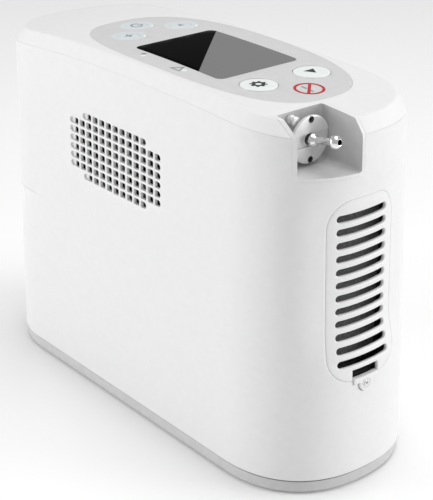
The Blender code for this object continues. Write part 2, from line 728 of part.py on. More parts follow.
def build_outlet():
    """A flange on a hub, its two screws, a locating pin and the barbed nozzle."""
    back = POCKET_LOW.x + GAP
    hub = FLANGE_FRONT - FLANGE_THICKNESS - back
    centre = Vector((back, OUTLET_AXIS.y, OUTLET_AXIS.z))
    front = hub + FLANGE_THICKNESS
    bore = 2.3 * MM
    profile = [
        (bore, front), (3.6 * MM, front), (3.6 * MM, front - 0.5 * MM),
        (FLANGE_RADIUS - 0.4 * MM, front - 0.5 * MM), (FLANGE_RADIUS, front - 0.9 * MM), (FLANGE_RADIUS, hub),
        (5.5 * MM, hub), (5.5 * MM, 0.0), (bore, 0.0),
    ]
    flange = turned("outlet_flange", centre, profile, "satin_metal", "X", closed=True, steps=28)
    screw_profile = [
        (0.0, 0.3 * MM), (0.9 * MM, 0.2 * MM), (1.1 * MM, -0.2 * MM), (0.9 * MM, -0.8 * MM),
        (0.9 * MM, -1.9 * MM), (0.0, -1.9 * MM),
    ]
    face = back + front - 0.5 * MM
    for index, side in enumerate((1.0, -1.0), 1):
        place = Vector((face, OUTLET_AXIS.y, OUTLET_AXIS.z + side * FLANGE_SCREW_RADIUS))
        cut(flange, cylinder(f"flange_hole_{index}", place, 1.4 * MM, 8 * MM, "X", None, 16))
        turned(f"flange_screw_{index}", place, screw_profile, "satin_metal", "X", steps=12)
    pin_profile = [
        (0.0, 3.4 * MM), (1.6 * MM, 3.4 * MM), (1.9 * MM, 3.1 * MM), (1.9 * MM, 2.3 * MM),
        (1.5 * MM, 2.0 * MM),
        (1.5 * MM, 1.5 * MM), (1.9 * MM, 1.2 * MM), (1.9 * MM, 0.0), (0.8 * MM, 0.0), (0.8 * MM, -3.0 * MM),
        (0.0, -3.0 * MM),
    ]
    pin_place = Vector((back, -22.3 * MM, 156.6 * MM))
    turned("locating_pin", pin_place, pin_profile, "satin_metal", "X", steps=14)
    ball, stem = 2.7 * MM, 1.35 * MM
    ball_at = 13.0 * MM
    profile = [(0.7 * MM, ball_at + 1.0 * MM), (1.1 * MM, ball_at + 2.2 * MM)]
    for angle in range(50, -60, -15):
        turn = math.radians(angle)
        profile.append((ball * math.cos(turn), ball_at + ball * math.sin(turn)))
    profile += [
        (stem, ball_at - 2.3 * MM), (stem, 2.6 * MM), (2.6 * MM, 1.6 * MM), (2.6 * MM, 0.8 * MM),
        (stem, 0.8 * MM), (stem, -3.4 * MM), (0.7 * MM, -3.4 * MM),
    ]
    place = Vector((FLANGE_FRONT, OUTLET_AXIS.y, OUTLET_AXIS.z))
    nozzle = turned("outlet_nozzle", place, profile, "chrome", "X", closed=True, steps=16)
    nozzle.rotation_euler = (Matrix.Rotation(-NOZZLE_TILT, 4, "Y") @ AXIS_TURN["X"]).to_euler()


def build_filter():
    """The louvred cover, its latch and screw, and the foam in its tray."""
    guide = prism_x("cover_guide", cover_outline(0.0), 92 * MM, 120 * MM)
    cover = add_object("filter_cover", guide.data.copy(), "white_shell")
    boolean(cover, OUTER, "INTERSECT")
    cut(cover, INNER_COVER)
    for row in range(LOUVRE_COUNT):
        z = LOUVRE_TOP - row * LOUVRE_PITCH
        outline = slot_outline(COVER_Y, z, LOUVRE_HALF_LENGTH, LOUVRE_HEIGHT / 2)
        cut(cover, prism_x(f"louvre_{row + 1}", outline, 90 * MM, 125 * MM))
    window_low = (90 * MM, COVER_Y - WINDOW_HALF_WIDTH, WINDOW_LOW - 6 * MM)
    window = box("window", window_low, (125 * MM, COVER_Y + WINDOW_HALF_WIDTH, WINDOW_HIGH), None)
    cut(cover, window)
    smooth(cover)

    plate = prism_x("latch_guide", latch_outline(0.0), 92 * MM, 120 * MM)
    latch = add_object("cover_latch", plate.data.copy(), "white_shell")
    boolean(latch, OUTER, "INTERSECT")
    cut(latch, INNER_LATCH)
    face = half_outline(LUG_Z)[0][0]
    lug = Vector((face, COVER_Y, LUG_Z))
    cut(latch, cylinder("lug_hole", lug, 1.5 * MM, 12 * MM, "X", None, 16))
    profile = [
        (0.0, 0.9 * MM), (1.9 * MM, 0.9 * MM), (2.3 * MM, 0.5 * MM), (2.3 * MM, 0.25 * MM),
        (1.2 * MM, 0.25 * MM),
        (1.2 * MM, -5.0 * MM), (0.0, -5.0 * MM),
    ]
    turned("cover_screw", lug, profile, "satin_metal", "X", steps=14)

    tray_low = Vector((92.6 * MM, COVER_Y - 17.6 * MM, 49.6 * MM))
    tray_high = Vector((99.0 * MM, COVER_Y + 17.6 * MM, 126.4 * MM))
    tray = box("filter_tray", tray_low, tray_high, "dark_plastic")
    wall = 1.4 * MM
    inside_low = tray_low + Vector((wall, wall, wall))
    inside_high = tray_high + Vector((10 * MM, -wall, -wall))
    hollow = box("tray_hollow", inside_low, inside_high, None)
    bracket_low = (94.2 * MM, COVER_Y - 6.0 * MM, LUG_Z - 5.0 * MM)
    bracket = box("latch_bracket", bracket_low, (106.7 * MM, COVER_Y + 6.0 * MM, 50.4 * MM), None)
    screw_way = cylinder("bracket_hole", lug, 2.2 * MM, 20.0 * MM, "X", None, 16)
    join(tray, bracket)
    cut(tray, hollow, screw_way)
    inlet = Vector((93.5, COVER_Y / MM, 62.0)) * MM
    cut(tray, cylinder("tray_inlet", inlet, 2.4 * MM, 8 * MM, "X", None, 16))
    foam_low = inside_low + Vector((GAP, GAP, GAP))
    foam_high = Vector((98.6 * MM, inside_high.y - GAP, inside_high.z - GAP))
    box("intake_filter", foam_low, foam_high, "filter_foam")


# ---------------------------------------------------------------------------------------------
# Far end: battery, latch and power socket


def build_battery():
    low = (-130 * MM, -BATTERY_HALF_WIDTH, BATTERY_LOW)
    battery = box("battery_pack", low, (BATTERY_FRONT, BATTERY_HALF_WIDTH, BATTERY_HIGH), "white_shell")
    boolean(battery, OUTER, "INTERSECT")

    grow = BAY_CLEARANCE
    outer = grow + BAY_WALL
    bay_front = BATTERY_FRONT + 2.6 * MM
    bay_low = (-93.0 * MM, -BATTERY_HALF_WIDTH - outer, BATTERY_LOW - outer)
    bay_high = (bay_front + BAY_WALL, BATTERY_HALF_WIDTH + outer, BATTERY_HIGH + outer)
    bay = box("battery_bay", bay_low, bay_high, "dark_plastic")
    inside_low = (-120 * MM, -BATTERY_HALF_WIDTH - grow, BATTERY_LOW - grow)
    inside_high = (bay_front, BATTERY_HALF_WIDTH + grow, BATTERY_HIGH + grow)
    cut(bay, box("bay_hollow", inside_low, inside_high, None))


def build_latch_and_socket():
    """The battery release key and the power inlet, flush with the far end."""
    low = (-130 * MM, -9.0 * MM, LATCH_Z - 4.0 * MM)
    key = box("battery_latch", low, (-101.0 * MM, 9.0 * MM, LATCH_Z + 4.0 * MM), "grey_base")
    boolean(key, OUTER, "INTERSECT")
    flange_low = (-104.6 * MM, -11.0 * MM, LATCH_Z - 5.6 * MM)
    flange_high = (-103.0 * MM, 11.0 * MM, LATCH_Z + 5.6 * MM)
    join(key, box("latch_flange", flange_low, flange_high, None))
    depth = 10.0 * MM
    bore = 3.2 * MM
    profile = [
        (bore, 0.4 * MM), (7.4 * MM, 0.4 * MM), (7.6 * MM, 0.0), (7.6 * MM, -0.3 * MM), (5.6 * MM, -0.3 * MM),
        (5.6 * MM, -depth), (0.0, -depth), (0.0, -depth + 1.5 * MM), (bore, -depth + 1.5 * MM),
    ]
    face = half_outline(SOCKET_Z)[-1][0]
    socket = turned("dc_power_socket", Vector((face - 0.5 * MM, 0.0, SOCKET_Z)), profile, "dark_plastic",
                    steps=20, closed=True)
    socket.rotation_euler = (0.0, math.radians(-90.0), 0.0)


# ---------------------------------------------------------------------------------------------
# Inside: chassis, compressor, oxygen circuit, fan and boards


def build_compressor():
    shaft_z = MOTOR_CENTRE.z
    stator_half = 18.0 * MM
    profile = [
        (MOTOR_BORE, stator_half), (MOTOR_RADIUS, stator_half), (MOTOR_RADIUS, -stator_half),
        (MOTOR_BORE, -stator_half),
    ]
    turned("motor_stator", MOTOR_CENTRE, profile, "satin_metal", "X", closed=True, steps=28)
    case_depth = 21.4 * MM
    for name, side in (("a", -1.0), ("b", 1.0)):
        near = MOTOR_CENTRE.x + side * (stator_half + GAP)
        far = near + side * case_depth
        low_x, high_x = min(near, far), max(near, far)
        case = box(
            f"crankcase_{name}", (low_x, -18 * MM, 16 * MM), (high_x, 18 * MM, 56 * MM), "aluminium", 1.5 * MM
        )
        hollow_x = (near + far - side * 5.0 * MM) / 2
        hollow = cylinder(
            f"crank_hollow_{name}", (hollow_x, 0, shaft_z), 14 * MM, case_depth - MM, "X", None, 20
        )
        cut(case, hollow)
        head_low = (low_x + 2 * MM, -14 * MM, 56 * MM + GAP)
        head_high = (high_x - 2 * MM, 14 * MM, 77 * MM)
        head = box(f"cylinder_head_{name}", head_low, head_high, "aluminium", 1.0 * MM)
        for fin in range(3):
            z = (61.0 + 5.0 * fin) * MM
            for turn in (-1.0, 1.0):
                groove_low = (low_x, turn * 14 * MM - 3 * MM, z)
                groove_high = (high_x, turn * 14 * MM + 3 * MM, z + 2.2 * MM)
                cut(head, box(f"fin_{name}_{fin}_{turn:+.0f}", groove_low, groove_high, None))
        middle = (low_x + high_x) / 2
        for mount, y in (("left", -12.0 * MM), ("right", 12.0 * MM)):
            foot = BASE_FLOOR + GAP
            profile = [
                (0.0, 11.9 * MM), (5.0 * MM, 11.9 * MM), (3.6 * MM, 6.0 * MM), (5.0 * MM, 0.0), (0.0, 0.0),
            ]
            place = Vector((middle, y, foot))
            turned(f"rubber_mount_{name}_{mount}", place, profile, "black_rubber", steps=16)

    weight_at = stator_half + 9.0 * MM
    rotor = cylinder("motor_rotor", MOTOR_CENTRE, 12.2 * MM, 33 * MM, "X", "satin_metal", 24)
    join(rotor, cylinder("shaft_guide", MOTOR_CENTRE, 3.0 * MM, 68 * MM, "X", None, 20))
    for side in (-1.0, 1.0):
        centre = MOTOR_CENTRE + Vector((side * weight_at, 0.0, side * 3.0 * MM))
        weight = cylinder(f"weight_guide_{side:+.0f}", centre, 9.0 * MM, 7 * MM, "X", None, 24)
        join(rotor, weight)


def build_chassis():
    deck_low = (-56 * MM, -36.6 * MM, 84.2 * MM)
    chassis = box("chassis_deck", deck_low, (78 * MM, 36.6 * MM, 85.8 * MM), "aluminium")
    add_bevel(chassis, 0.4 * MM)
    for index, x in enumerate((6.0, 30.0, 54.0), 1):
        vent = box(
            f"deck_vent_{index}", (x * MM, -30 * MM, 80 * MM), ((x + 14) * MM, -22 * MM, 90 * MM), None
        )
        cut(chassis, vent)


def capped_tube(name, centre, radius, length, finish, steps=18):
    """A pressure vessel: a straight barrel between two slightly larger caps."""
    half = length / 2
    cap = 6.0 * MM
    profile = [
        (0.0, half), (radius * 0.8, half), (radius + 1 * MM, half - 2 * MM), (radius + 1 * MM, half - cap),
        (radius, half - cap), (radius, -half + cap), (radius + 1 * MM, -half + cap),
        (radius + 1 * MM, -half + 2 * MM), (radius * 0.8, -half), (0.0, -half),
    ]
    return turned(name, centre, profile, finish, "X", steps=steps)


def tube(name, points, radius, finish):
    curve = bpy.data.curves.new(name, "CURVE")
    curve.dimensions = "3D"
    curve.bevel_depth = radius
    curve.bevel_resolution = 2
    curve.use_fill_caps = True
    spline = curve.splines.new("POLY")
    spline.points.add(len(points) - 1)
    for slot, point in zip(spline.points, points):
        slot.co = (*point, 1.0)
    item = bpy.data.objects.new(name, curve)
    PARTS.objects.link(item)
    curve.materials.append(MATERIALS[finish])
    return item


def bezier(start, pull_start, pull_end, end, steps=10):
    points = []
    for step in range(steps + 1):
        t = step / steps
        u = 1.0 - t
        point = start * u ** 3 + pull_start * 3 * u * u * t + pull_end * 3 * u * t * t + end * t ** 3
        points.append(point)
    return points


def build_oxygen_circuit():
    bed_x = -8.0 * MM
    capped_tube("sieve_bed_a", Vector((bed_x, 18 * MM, 101.8 * MM)), 13.6 * MM, 94 * MM, "aluminium")
    capped_tube("sieve_bed_b", Vector((bed_x, 18 * MM, 132.0 * MM)), 13.6 * MM, 94 * MM, "aluminium")
    capped_tube("product_tank", Vector((50.0, -19.0, 101.0)) * MM, 12.0 * MM, 48 * MM, "aluminium", 16)
    manifold_low = (39.6 * MM, 4 * MM, 90 * MM)
    box("valve_manifold", manifold_low, (54.0 * MM, 32 * MM, 146 * MM), "aluminium", 1.0 * MM)
    valve = [(0.0, 16 * MM), (5.5 * MM, 16 * MM), (6.5 * MM, 15 * MM), (6.5 * MM, 2 * MM), (3.0 * MM, 2 * MM),
             (3.0 * MM, 0.0), (0.0, 0.0)]
    for name, z in (("a", 104.0), ("b", 130.0)):
        place = Vector((54.3, 18.0, z)) * MM
        turned(f"solenoid_valve_{name}", place, valve, "dark_plastic", "X", steps=14)
    capped_tube("product_filter", Vector((57.0, -16.4, 134.0)) * MM, 7.0 * MM, 26 * MM, "clear_tube", 14)
    start = Vector((70.4, -16.4, 134.0)) * MM
    end = Vector((82.4 * MM, OUTLET_AXIS.y, OUTLET_AXIS.z))
    straight = Vector((1.2, 0.0, 0.0)) * MM
    pull = Vector((5.0, 0.0, 0.0)) * MM
    bend = bezier(start + straight, start + straight + pull, end - straight - pull, end - straight, 8)
    tube("outlet_tube", [start, *bend, end], 1.8 * MM, "clear_tube")


def build_fan():
    centre = Vector((-6.3 * MM, 0.0, GRILLE_TOP_ROW - 3.5 * GRILLE_ROW_PITCH))
    front, back = -36.4 * MM, -24.0 * MM
    half = 20.0 * MM
    low = (centre.x - half, front, centre.z - half)
    frame = box("fan_frame", low, (centre.x + half, back, centre.z + half), "dark_plastic", 1.2 * MM)
    middle = Vector((centre.x, (front + back) / 2, centre.z))
    cut(frame, cylinder("fan_bore", middle, 18.4 * MM, 30 * MM, "Y", None, 28))
    spider_y = back - 1.2 * MM
    hub = cylinder("fan_seat", Vector((centre.x, spider_y, centre.z)), 7.0 * MM, 2.4 * MM, "Y", None, 24)
    arm_low = Vector((-19.0 * MM, -1.2 * MM, -1.3 * MM))
    arm_high = Vector((19.0 * MM, 1.2 * MM, 1.3 * MM))
    seat = Vector((centre.x, spider_y, centre.z))
    arm_a = box("fan_arm_a", seat + arm_low, seat + arm_high, None)
    arm_b = box("fan_arm_b", seat + arm_low, seat + arm_high, None)
    arm_b.rotation_euler = (0.0, math.radians(90.0), 0.0)
    join(frame, hub, arm_a, arm_b)

    rotor_front, rotor_back = front + 1.0 * MM, back - 2.4 * MM - GAP
    length = rotor_back - rotor_front
    place = Vector((centre.x, (rotor_front + rotor_back) / 2, centre.z))
    rotor = cylinder("fan_rotor", place, 7.5 * MM, length, "Y", "dark_plastic", 24)
    for blade in range(7):
        bm = bmesh.new()
        bmesh.ops.create_cube(bm, size=1.0)
        bmesh.ops.scale(bm, vec=Vector((10.8, 0.9, 11.0)) * MM, verts=bm.verts)
        pitch = Matrix.Rotation(math.radians(38.0), 4, "X")
        out = Matrix.Translation((11.9 * MM, 0.0, 0.0))
        around = Matrix.Rotation(2.0 * math.pi * blade / 7, 4, "Y")
        bmesh.ops.transform(bm, matrix=around @ out @ pitch, verts=bm.verts)
        wing = add_object(f"blade_{blade}", finish_mesh(f"blade_{blade}", bm), None, place)
        join(rotor, wing)


def build_board():
    low = (-68.0 * MM, -30 * MM, 88 * MM)
    box("main_board", low, (-66.4 * MM, 30 * MM, 146 * MM), "circuit_green")


build_housing()
build_top()
build_keys()
build_display()
build_base()
build_pocket()
build_outlet()
build_filter()
build_battery()
build_latch_and_socket()
build_compressor()
build_chassis()
build_oxygen_circuit()
build_fan()
build_board()
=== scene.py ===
import json
import math

import bpy
import numpy as np
from mathutils import Matrix, Vector
from mathutils.geometry import delaunay_2d_cdt


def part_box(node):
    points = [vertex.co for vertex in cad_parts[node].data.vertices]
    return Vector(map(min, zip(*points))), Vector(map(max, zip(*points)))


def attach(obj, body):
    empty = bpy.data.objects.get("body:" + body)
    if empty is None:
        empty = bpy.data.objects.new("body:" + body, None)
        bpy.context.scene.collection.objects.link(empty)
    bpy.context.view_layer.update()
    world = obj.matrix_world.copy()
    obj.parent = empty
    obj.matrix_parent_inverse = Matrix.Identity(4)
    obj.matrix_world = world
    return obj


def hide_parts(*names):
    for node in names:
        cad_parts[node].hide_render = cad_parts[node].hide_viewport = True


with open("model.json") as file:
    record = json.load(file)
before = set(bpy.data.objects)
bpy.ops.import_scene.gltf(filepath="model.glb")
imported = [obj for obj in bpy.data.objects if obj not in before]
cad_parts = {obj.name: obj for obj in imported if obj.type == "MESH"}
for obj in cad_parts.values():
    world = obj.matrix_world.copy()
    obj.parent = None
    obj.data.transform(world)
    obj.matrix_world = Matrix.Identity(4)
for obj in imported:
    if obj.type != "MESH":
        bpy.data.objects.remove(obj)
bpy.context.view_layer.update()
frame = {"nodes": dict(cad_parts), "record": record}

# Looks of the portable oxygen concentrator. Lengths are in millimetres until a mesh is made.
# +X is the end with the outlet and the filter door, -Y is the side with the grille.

MM = 0.001
# The body: plan, draft and crown
HALF_LENGTH, HALF_WIDTH, TOP, FOOT = 111.0, 42.5, 162.0, 1.0
DRAFT = 4.0
NEAR_LENGTH, NEAR_POWER = 43.0, 2.3
FAR_LENGTH, FAR_POWER = 39.0, 2.05
NEAR_FLAT, FAR_FLAT = HALF_LENGTH - NEAR_LENGTH, FAR_LENGTH - HALF_LENGTH
NEAR_CROWN, FAR_CROWN = 3.5, 5.9
WALL, VENT_WALL = 2.2, 1.4
CHAMFER_HEIGHT, CHAMFER_WIDTH, CHAMFER_BLEND = 5.1, 4.3, 0.45
LID_SHRINK = DRAFT * (TOP - CHAMFER_HEIGHT - FOOT) / (TOP - FOOT)
# Seams between housing, lid, base, door and pocket
SKIRT, LID_GAP, SEAM = 0.12, 0.05, 0.08
SEAM_LEVEL = 156.0
HOUSING_BOTTOM = 7.0
BASE_INSET = 0.8
# The corner pocket with the outlet
POCKET_X, POCKET_LEFT, POCKET_RIGHT, POCKET_FLOOR, POCKET_WALL = 84.5, -29.2, -5.8, 138.0, 1.3
POCKET_ROUND = 1.2
OUTLET_Y, OUTLET_Z, FLANGE_FRONT, FLANGE_RADIUS = -16.4, 148.7, 90.7, 9.6
FLANGE_SCREW, NOZZLE_TILT = 8.0, 12.0
PIN_Y, PIN_Z = -22.3, 156.6
# The filter door with its latch plate
DOOR_Y, DOOR_HALF, DOOR_BOTTOM, DOOR_TOP, DOOR_CORNER = -1.2, 18.2, 49.5, 126.8, 12.0
LUG_Z, LUG_RADIUS, SHOULDER_Z, SHOULDER_HALF, WINDOW_BOTTOM, WINDOW_TOP = 47.0, 3.8, 47.6, 6.65, 50.4, 54.2
LOUVRES, LOUVRE_TOP, LOUVRE_PITCH, LOUVRE_HALF, LOUVRE_OPEN, LOUVRE_EDGE = 12, 119.1, 5.58, 13.7, 1.5, 0.6
# The side grille: rows of holes, each row with a shallow rounded end before its first hole
GRILLE_START, GRILLE_TOP, GRILLE_PITCH, GRILLE_ROW = -36.325, 131.7, 4.9, 3.98
GRILLE_RIB, GRILLE_HEIGHT, GRILLE_CAP, GRILLE_END_DEPTH = 1.35, 2.85, 2.58, 0.9
GRILLE_ROWS, GRILLE_COLUMNS, GRILLE_SKIP, GRILLE_MIDDLE = 8, 13, 2, -7.9
# The far end: power socket, battery key, the step and the hairline above it
SOCKET_Z, LATCH_Z = 122.0, 93.0
STEP_FOOT, STEP_TOP, HAIRLINE = 52.0, 82.5, 83.0
STEP_ROWS = [82.3, 82.62, 82.79, 82.88, 82.92, 83.08, 83.12, 83.4]
UPPER_LEVELS = np.linspace(86.0, 150.0, 24)


# --- Materials


def dial(made, **values):
    """Sets inputs of a shader node; an underscore stands for a space in the input's name."""
    for name, value in values.items():
        made.inputs[name.replace("_", " ")].default_value = value


def node(tree, kind, source=None, **values):
    """Adds a shader node with its input values; source, if given, is wired to its first input."""
    made = tree.nodes.new("ShaderNode" + kind)
    dial(made, **values)
    if source:
        tree.links.new(source, made.inputs[0])
    return made


def finish(name, colours, roughness, bump, grain_scale, scale=300.0, metallic=0.0, stretch=(1, 1, 1)):
    """A Principled finish whose colour, roughness and surface vary with noise in object space."""
    material = bpy.data.materials.new(name)
    material.use_nodes = True
    tree = material.node_tree
    shader = tree.nodes["Principled BSDF"]
    mapping = node(tree, "Mapping", node(tree, "TexCoord").outputs["Object"], Scale=stretch)
    noise = node(tree, "TexNoise", mapping.outputs[0], Scale=scale, Detail=4.0)
    ramp = node(tree, "ValToRGB", noise.outputs["Fac"])
    for element, position, colour in zip(ramp.color_ramp.elements, (0.3, 0.7), colours):
        element.position = position
        element.color = (*colour, 1.0)
    spread = node(tree, "MapRange", noise.outputs["Fac"], To_Min=roughness[0], To_Max=roughness[1])
    grain = node(tree, "TexNoise", mapping.outputs[0], Scale=grain_scale, Detail=3.0)
    relief = node(tree, "Bump", Strength=bump, Distance=0.0002)
    tree.links.new(grain.outputs["Fac"], relief.inputs["Height"])
    tree.links.new(ramp.outputs["Color"], shader.inputs["Base Color"])
    tree.links.new(spread.outputs["Result"], shader.inputs["Roughness"])
    tree.links.new(relief.outputs["Normal"], shader.inputs["Normal"])
    dial(shader, Metallic=metallic)
    return material


def grey(low, high):
    return ((low, low, low), (high, high, high))


WHITE = finish("white_plastic", grey(0.80, 0.82), (0.32, 0.38), 0.04, 2600)
# Painted shade: the pocket's inside is the white shell's plastic, given this darker grey for the shade in the
# recess.
POCKET_SHADE_GREY = finish("pocket_shade_grey", grey(0.58, 0.61), (0.36, 0.44), 0.05, 2600)
BASE = finish("base_plastic", grey(0.58, 0.62), (0.42, 0.52), 0.08, 2400)
FILM = finish("panel_film", grey(0.60, 0.63), (0.40, 0.48), 0.04, 3000)
DISC = finish("disc_print", ((0.64, 0.69, 0.70), (0.66, 0.71, 0.72)), (0.36, 0.42), 0.03, 3000)
KEY = finish("key_plastic", ((0.79, 0.83, 0.82), (0.82, 0.86, 0.85)), (0.32, 0.40), 0.03, 3000)
LENS = finish("led_lens", grey(0.90, 0.95), (0.15, 0.22), 0.02, 1500)
INK = finish("dark_ink", grey(0.014, 0.022), (0.45, 0.55), 0.03, 4000)
SOFT_INK = finish("grey_ink", ((0.22, 0.25, 0.26), (0.26, 0.29, 0.30)), (0.45, 0.55), 0.03, 4000)
RED = finish("red_ink", ((0.44, 0.006, 0.015), (0.50, 0.012, 0.02)), (0.42, 0.5), 0.03, 4000)
DARK = finish("dark_plastic", grey(0.018, 0.028), (0.48, 0.6), 0.12, 1800)
RUBBER = finish("rubber", grey(0.018, 0.03), (0.72, 0.85), 0.25, 1400)
SATIN = finish("satin_metal", grey(0.62, 0.70), (0.26, 0.36), 0.06, 2500, 900, 1.0)
FLANGE = finish("light_metal", grey(0.74, 0.78), (0.30, 0.38), 0.05, 2500, 900, 0.4)
CHROME = finish("chrome", grey(0.84, 0.88), (0.05, 0.09), 0.01, 1500, 600, 1.0)
# Painted shade: the sieve beds' aluminium is a dark grey, so that they stay dark behind the exhaust slots.
SHADED_ALUMINIUM = finish("aluminium", ((0.24, 0.245, 0.25), (0.30, 0.305, 0.31)), (0.5, 0.62), 0.08, 900, 500, 1.0,
                   (1, 6, 6))
CIRCUIT = finish("circuit_green", ((0.012, 0.10, 0.045), (0.03, 0.17, 0.08)), (0.35, 0.5), 0.2, 700, 900)
TUBE = finish("clear_tube", ((0.62, 0.66, 0.66), (0.68, 0.72, 0.72)), (0.18, 0.28), 0.03, 1500)
FOAM = finish("foam", grey(0.06, 0.17), (0.9, 1.0), 0.9, 1600, 1800)


def glass_with_painted_glare():
    """Dark display glass with a lighter part that ends on a diagonal: a painted reflection of glare.
    The two tones take the place of the plain finish's colour."""
    material = finish("display_glass", grey(0.004, 0.006), (0.10, 0.16), 0.01, 1500, 200)
    tree = material.node_tree
    shader = tree.nodes["Principled BSDF"]
    place = node(tree, "TexCoord").outputs["Object"]
    turn = node(tree, "Mapping", place, Rotation=(0, 0, math.radians(-43.6)))
    across = node(tree, "SeparateXYZ", turn.outputs[0]).outputs["X"]
    edge = node(tree, "MapRange", across, From_Min=0.00628, From_Max=0.00648)
    # Painted reflection: the lighter tone is glare painted into the glass's colour.
    painted_glare = node(tree, "ValToRGB", edge.outputs["Result"])
    painted_glare.color_ramp.elements[0].color = (0.002, 0.002, 0.002, 1.0)
    painted_glare.color_ramp.elements[1].color = (0.20, 0.20, 0.20, 1.0)
    tree.links.new(painted_glare.outputs["Color"], shader.inputs["Base Color"])
    dial(shader, Specular_IOR_Level=0.003)
    return material


GLASS_WITH_GLARE = glass_with_painted_glare()
SLOT_FINISH = {
    "white_shell": WHITE, "grey_base": BASE, "panel_film": FILM, "key_white": KEY, "display_glass": GLASS_WITH_GLARE,
    "dark_plastic": DARK, "black_rubber": RUBBER, "filter_foam": FOAM, "satin_metal": SATIN, "chrome": CHROME,
    "aluminium": SHADED_ALUMINIUM, "circuit_green": CIRCUIT, "clear_tube": TUBE,
}


def dress_cad_nodes():
    """Gives every CAD node the finish of its record slot."""
    slots = {part["node"]: part["material_slot"] for part in frame["record"]["subparts"]}
    for name, item in frame["nodes"].items():
        item.data.materials.clear()
        item.data.materials.append(SLOT_FINISH[slots[name]])


# --- Body surface


def rows(*columns):
    """Points from their coordinates; a single number fills its column."""
    return np.stack(np.broadcast_arrays(*columns), axis=-1)


def crown(x):
    x = np.asarray(x, float)
    return TOP - np.where(x > 0, NEAR_CROWN, FAR_CROWN) * (x / 100.0) ** 2


def draft(z):
    return DRAFT * (np.asarray(z, float) - FOOT) / (TOP - FOOT)


def end_shape(near, shrink):
    """Where an end's curve starts, how long it is, and the power that shapes it."""
    length = np.where(near, NEAR_LENGTH, FAR_LENGTH) - shrink
    return np.where(near, NEAR_FLAT, -FAR_FLAT), length, np.where(near, NEAR_POWER, FAR_POWER)


def plan(w, shrink):
    """Point of the plan at w, which runs 0..6 round the body: end, side, end, end, side, end."""
    w = np.mod(np.asarray(w, float), 6.0)
    part = np.floor(w)
    along = w - part
    near = (part == 0) | (part == 5)
    rising = (part == 0) | (part == 3)
    angle = np.radians(90.0 * np.where(rising, along, 1.0 - along))
    centre, length, power = end_shape(near, shrink)
    c = np.clip(np.cos(angle), 0.0, 1.0) ** (2.0 / power)
    s = np.clip(np.sin(angle), 0.0, 1.0) ** (2.0 / power)
    x = np.where(near, 1.0, -1.0) * (centre + length * c)
    x = np.where(part == 1, NEAR_FLAT + (FAR_FLAT - NEAR_FLAT) * along, x)
    x = np.where(part == 4, FAR_FLAT + (NEAR_FLAT - FAR_FLAT) * along, x)
    y = (HALF_WIDTH - shrink) * np.where((part == 1) | (part == 4), 1.0, s)
    return x, np.where(part < 3, y, -y)


# s is the way round the body in millimetres, ROUND the whole way, both taken from a table against w
W_TABLE = np.linspace(0.0, 6.0, 2401)
TABLE_X, TABLE_Y = plan(W_TABLE, 2.0)
S_TABLE = np.concatenate([[0.0], np.cumsum(np.hypot(np.diff(TABLE_X), np.diff(TABLE_Y)))])
ROUND = S_TABLE[-1]


def w_at(s):
    return np.interp(np.mod(s, ROUND), S_TABLE, W_TABLE)


def s_at(w):
    return np.interp(w, W_TABLE, S_TABLE)


def end_w(y, z, power):
    reach = np.clip(np.abs(y) / (HALF_WIDTH - draft(z)), 0.0, 1.0)
    return np.degrees(np.arcsin(reach ** (power / 2))) / 90.0


def near_s(y, z):
    """Distance round the body of a point of the near end, given across and up."""
    w = end_w(y, z, NEAR_POWER)
    return np.where(np.asarray(y) >= 0, s_at(w), s_at(6.0 - w) - ROUND)


def far_s(y, z):
    """The same for the far end."""
    w = end_w(y, z, FAR_POWER)
    return np.where(np.asarray(y) >= 0, s_at(3.0 - w), s_at(3.0 + w))


def side_s(x, right):
    """The same for the +Y side (right is False) or the -Y side (right is True)."""
    along = (np.asarray(x, float) - NEAR_FLAT) / (FAR_FLAT - NEAR_FLAT)
    return s_at(5.0 - along) if right else s_at(1.0 + along)


def ease(value):
    value = np.clip(value, 0.0, 1.0)
    return value * value * (3.0 - 2.0 * value)


def sunk(x, y, z):
    """How far the surface lies inside the plain drafted wall: the scoop and the dish."""
    under = ease((HAIRLINE - 0.22 - z) / 0.15) * ease((z - STEP_FOOT) / (STEP_TOP - STEP_FOOT))
    far = ease((-58.0 - x) / 24.0)
    scoop = far * (1.5 * under + 0.4 * (np.abs(z - HAIRLINE) < 0.085))
    across = ease((34.0 - np.abs(y - DOOR_Y)) / 17.0)
    upward = ease((z - 52.0) / 22.0) * ease((137.0 - z) / 16.0)
    return scoop + np.where(x > 0, 2.9 * across * upward, 0.0)


def wall_point(s, z):
    """A point of the side wall, with the scoop and the dish."""
    shrink = draft(z)
    x, y = plan(w_at(s), shrink)
    x1, y1 = plan(w_at(s - 0.2), shrink)
    x2, y2 = plan(w_at(s + 0.2), shrink)
    tx, ty = x2 - x1, y2 - y1
    size = np.maximum(np.hypot(tx, ty), 1e-9)
    depth = sunk(x, y, z)
    return rows(x - ty / size * depth, y + tx / size * depth, z)


def unit(v):
    return v / np.maximum(np.linalg.norm(v, axis=-1, keepdims=True), 1e-12)


def wall_map(uv, depth):
    """Places sheet points on the side wall, sunk by depth along the surface normal."""
    s, z = uv.T
    along = wall_point(s + 0.25, z) - wall_point(s - 0.25, z)
    up = wall_point(s, z + 0.25) - wall_point(s, z - 0.25)
    return wall_point(s, z) - unit(np.cross(along, up)) * depth[:, None]


def top_inset(x, y):
    """Distance of a plan point inside the outline at the chamfer's lower edge, found by halving."""
    low, high = np.full(np.shape(x), -3.0), np.full(np.shape(x), 34.0)
    centre, length, power = end_shape(np.asarray(x) > 0, LID_SHRINK)
    beyond = np.maximum(np.abs(x) - centre, 0.0)
    for _ in range(26):
        middle = (low + high) / 2
        a = np.maximum(length - middle, 0.5)
        b = np.maximum(HALF_WIDTH - LID_SHRINK - middle, 0.5)
        within = (beyond / a) ** power + (np.abs(y) / b) ** power < 1.0
        low, high = np.where(within, middle, low), np.where(within, high, middle)
    return low


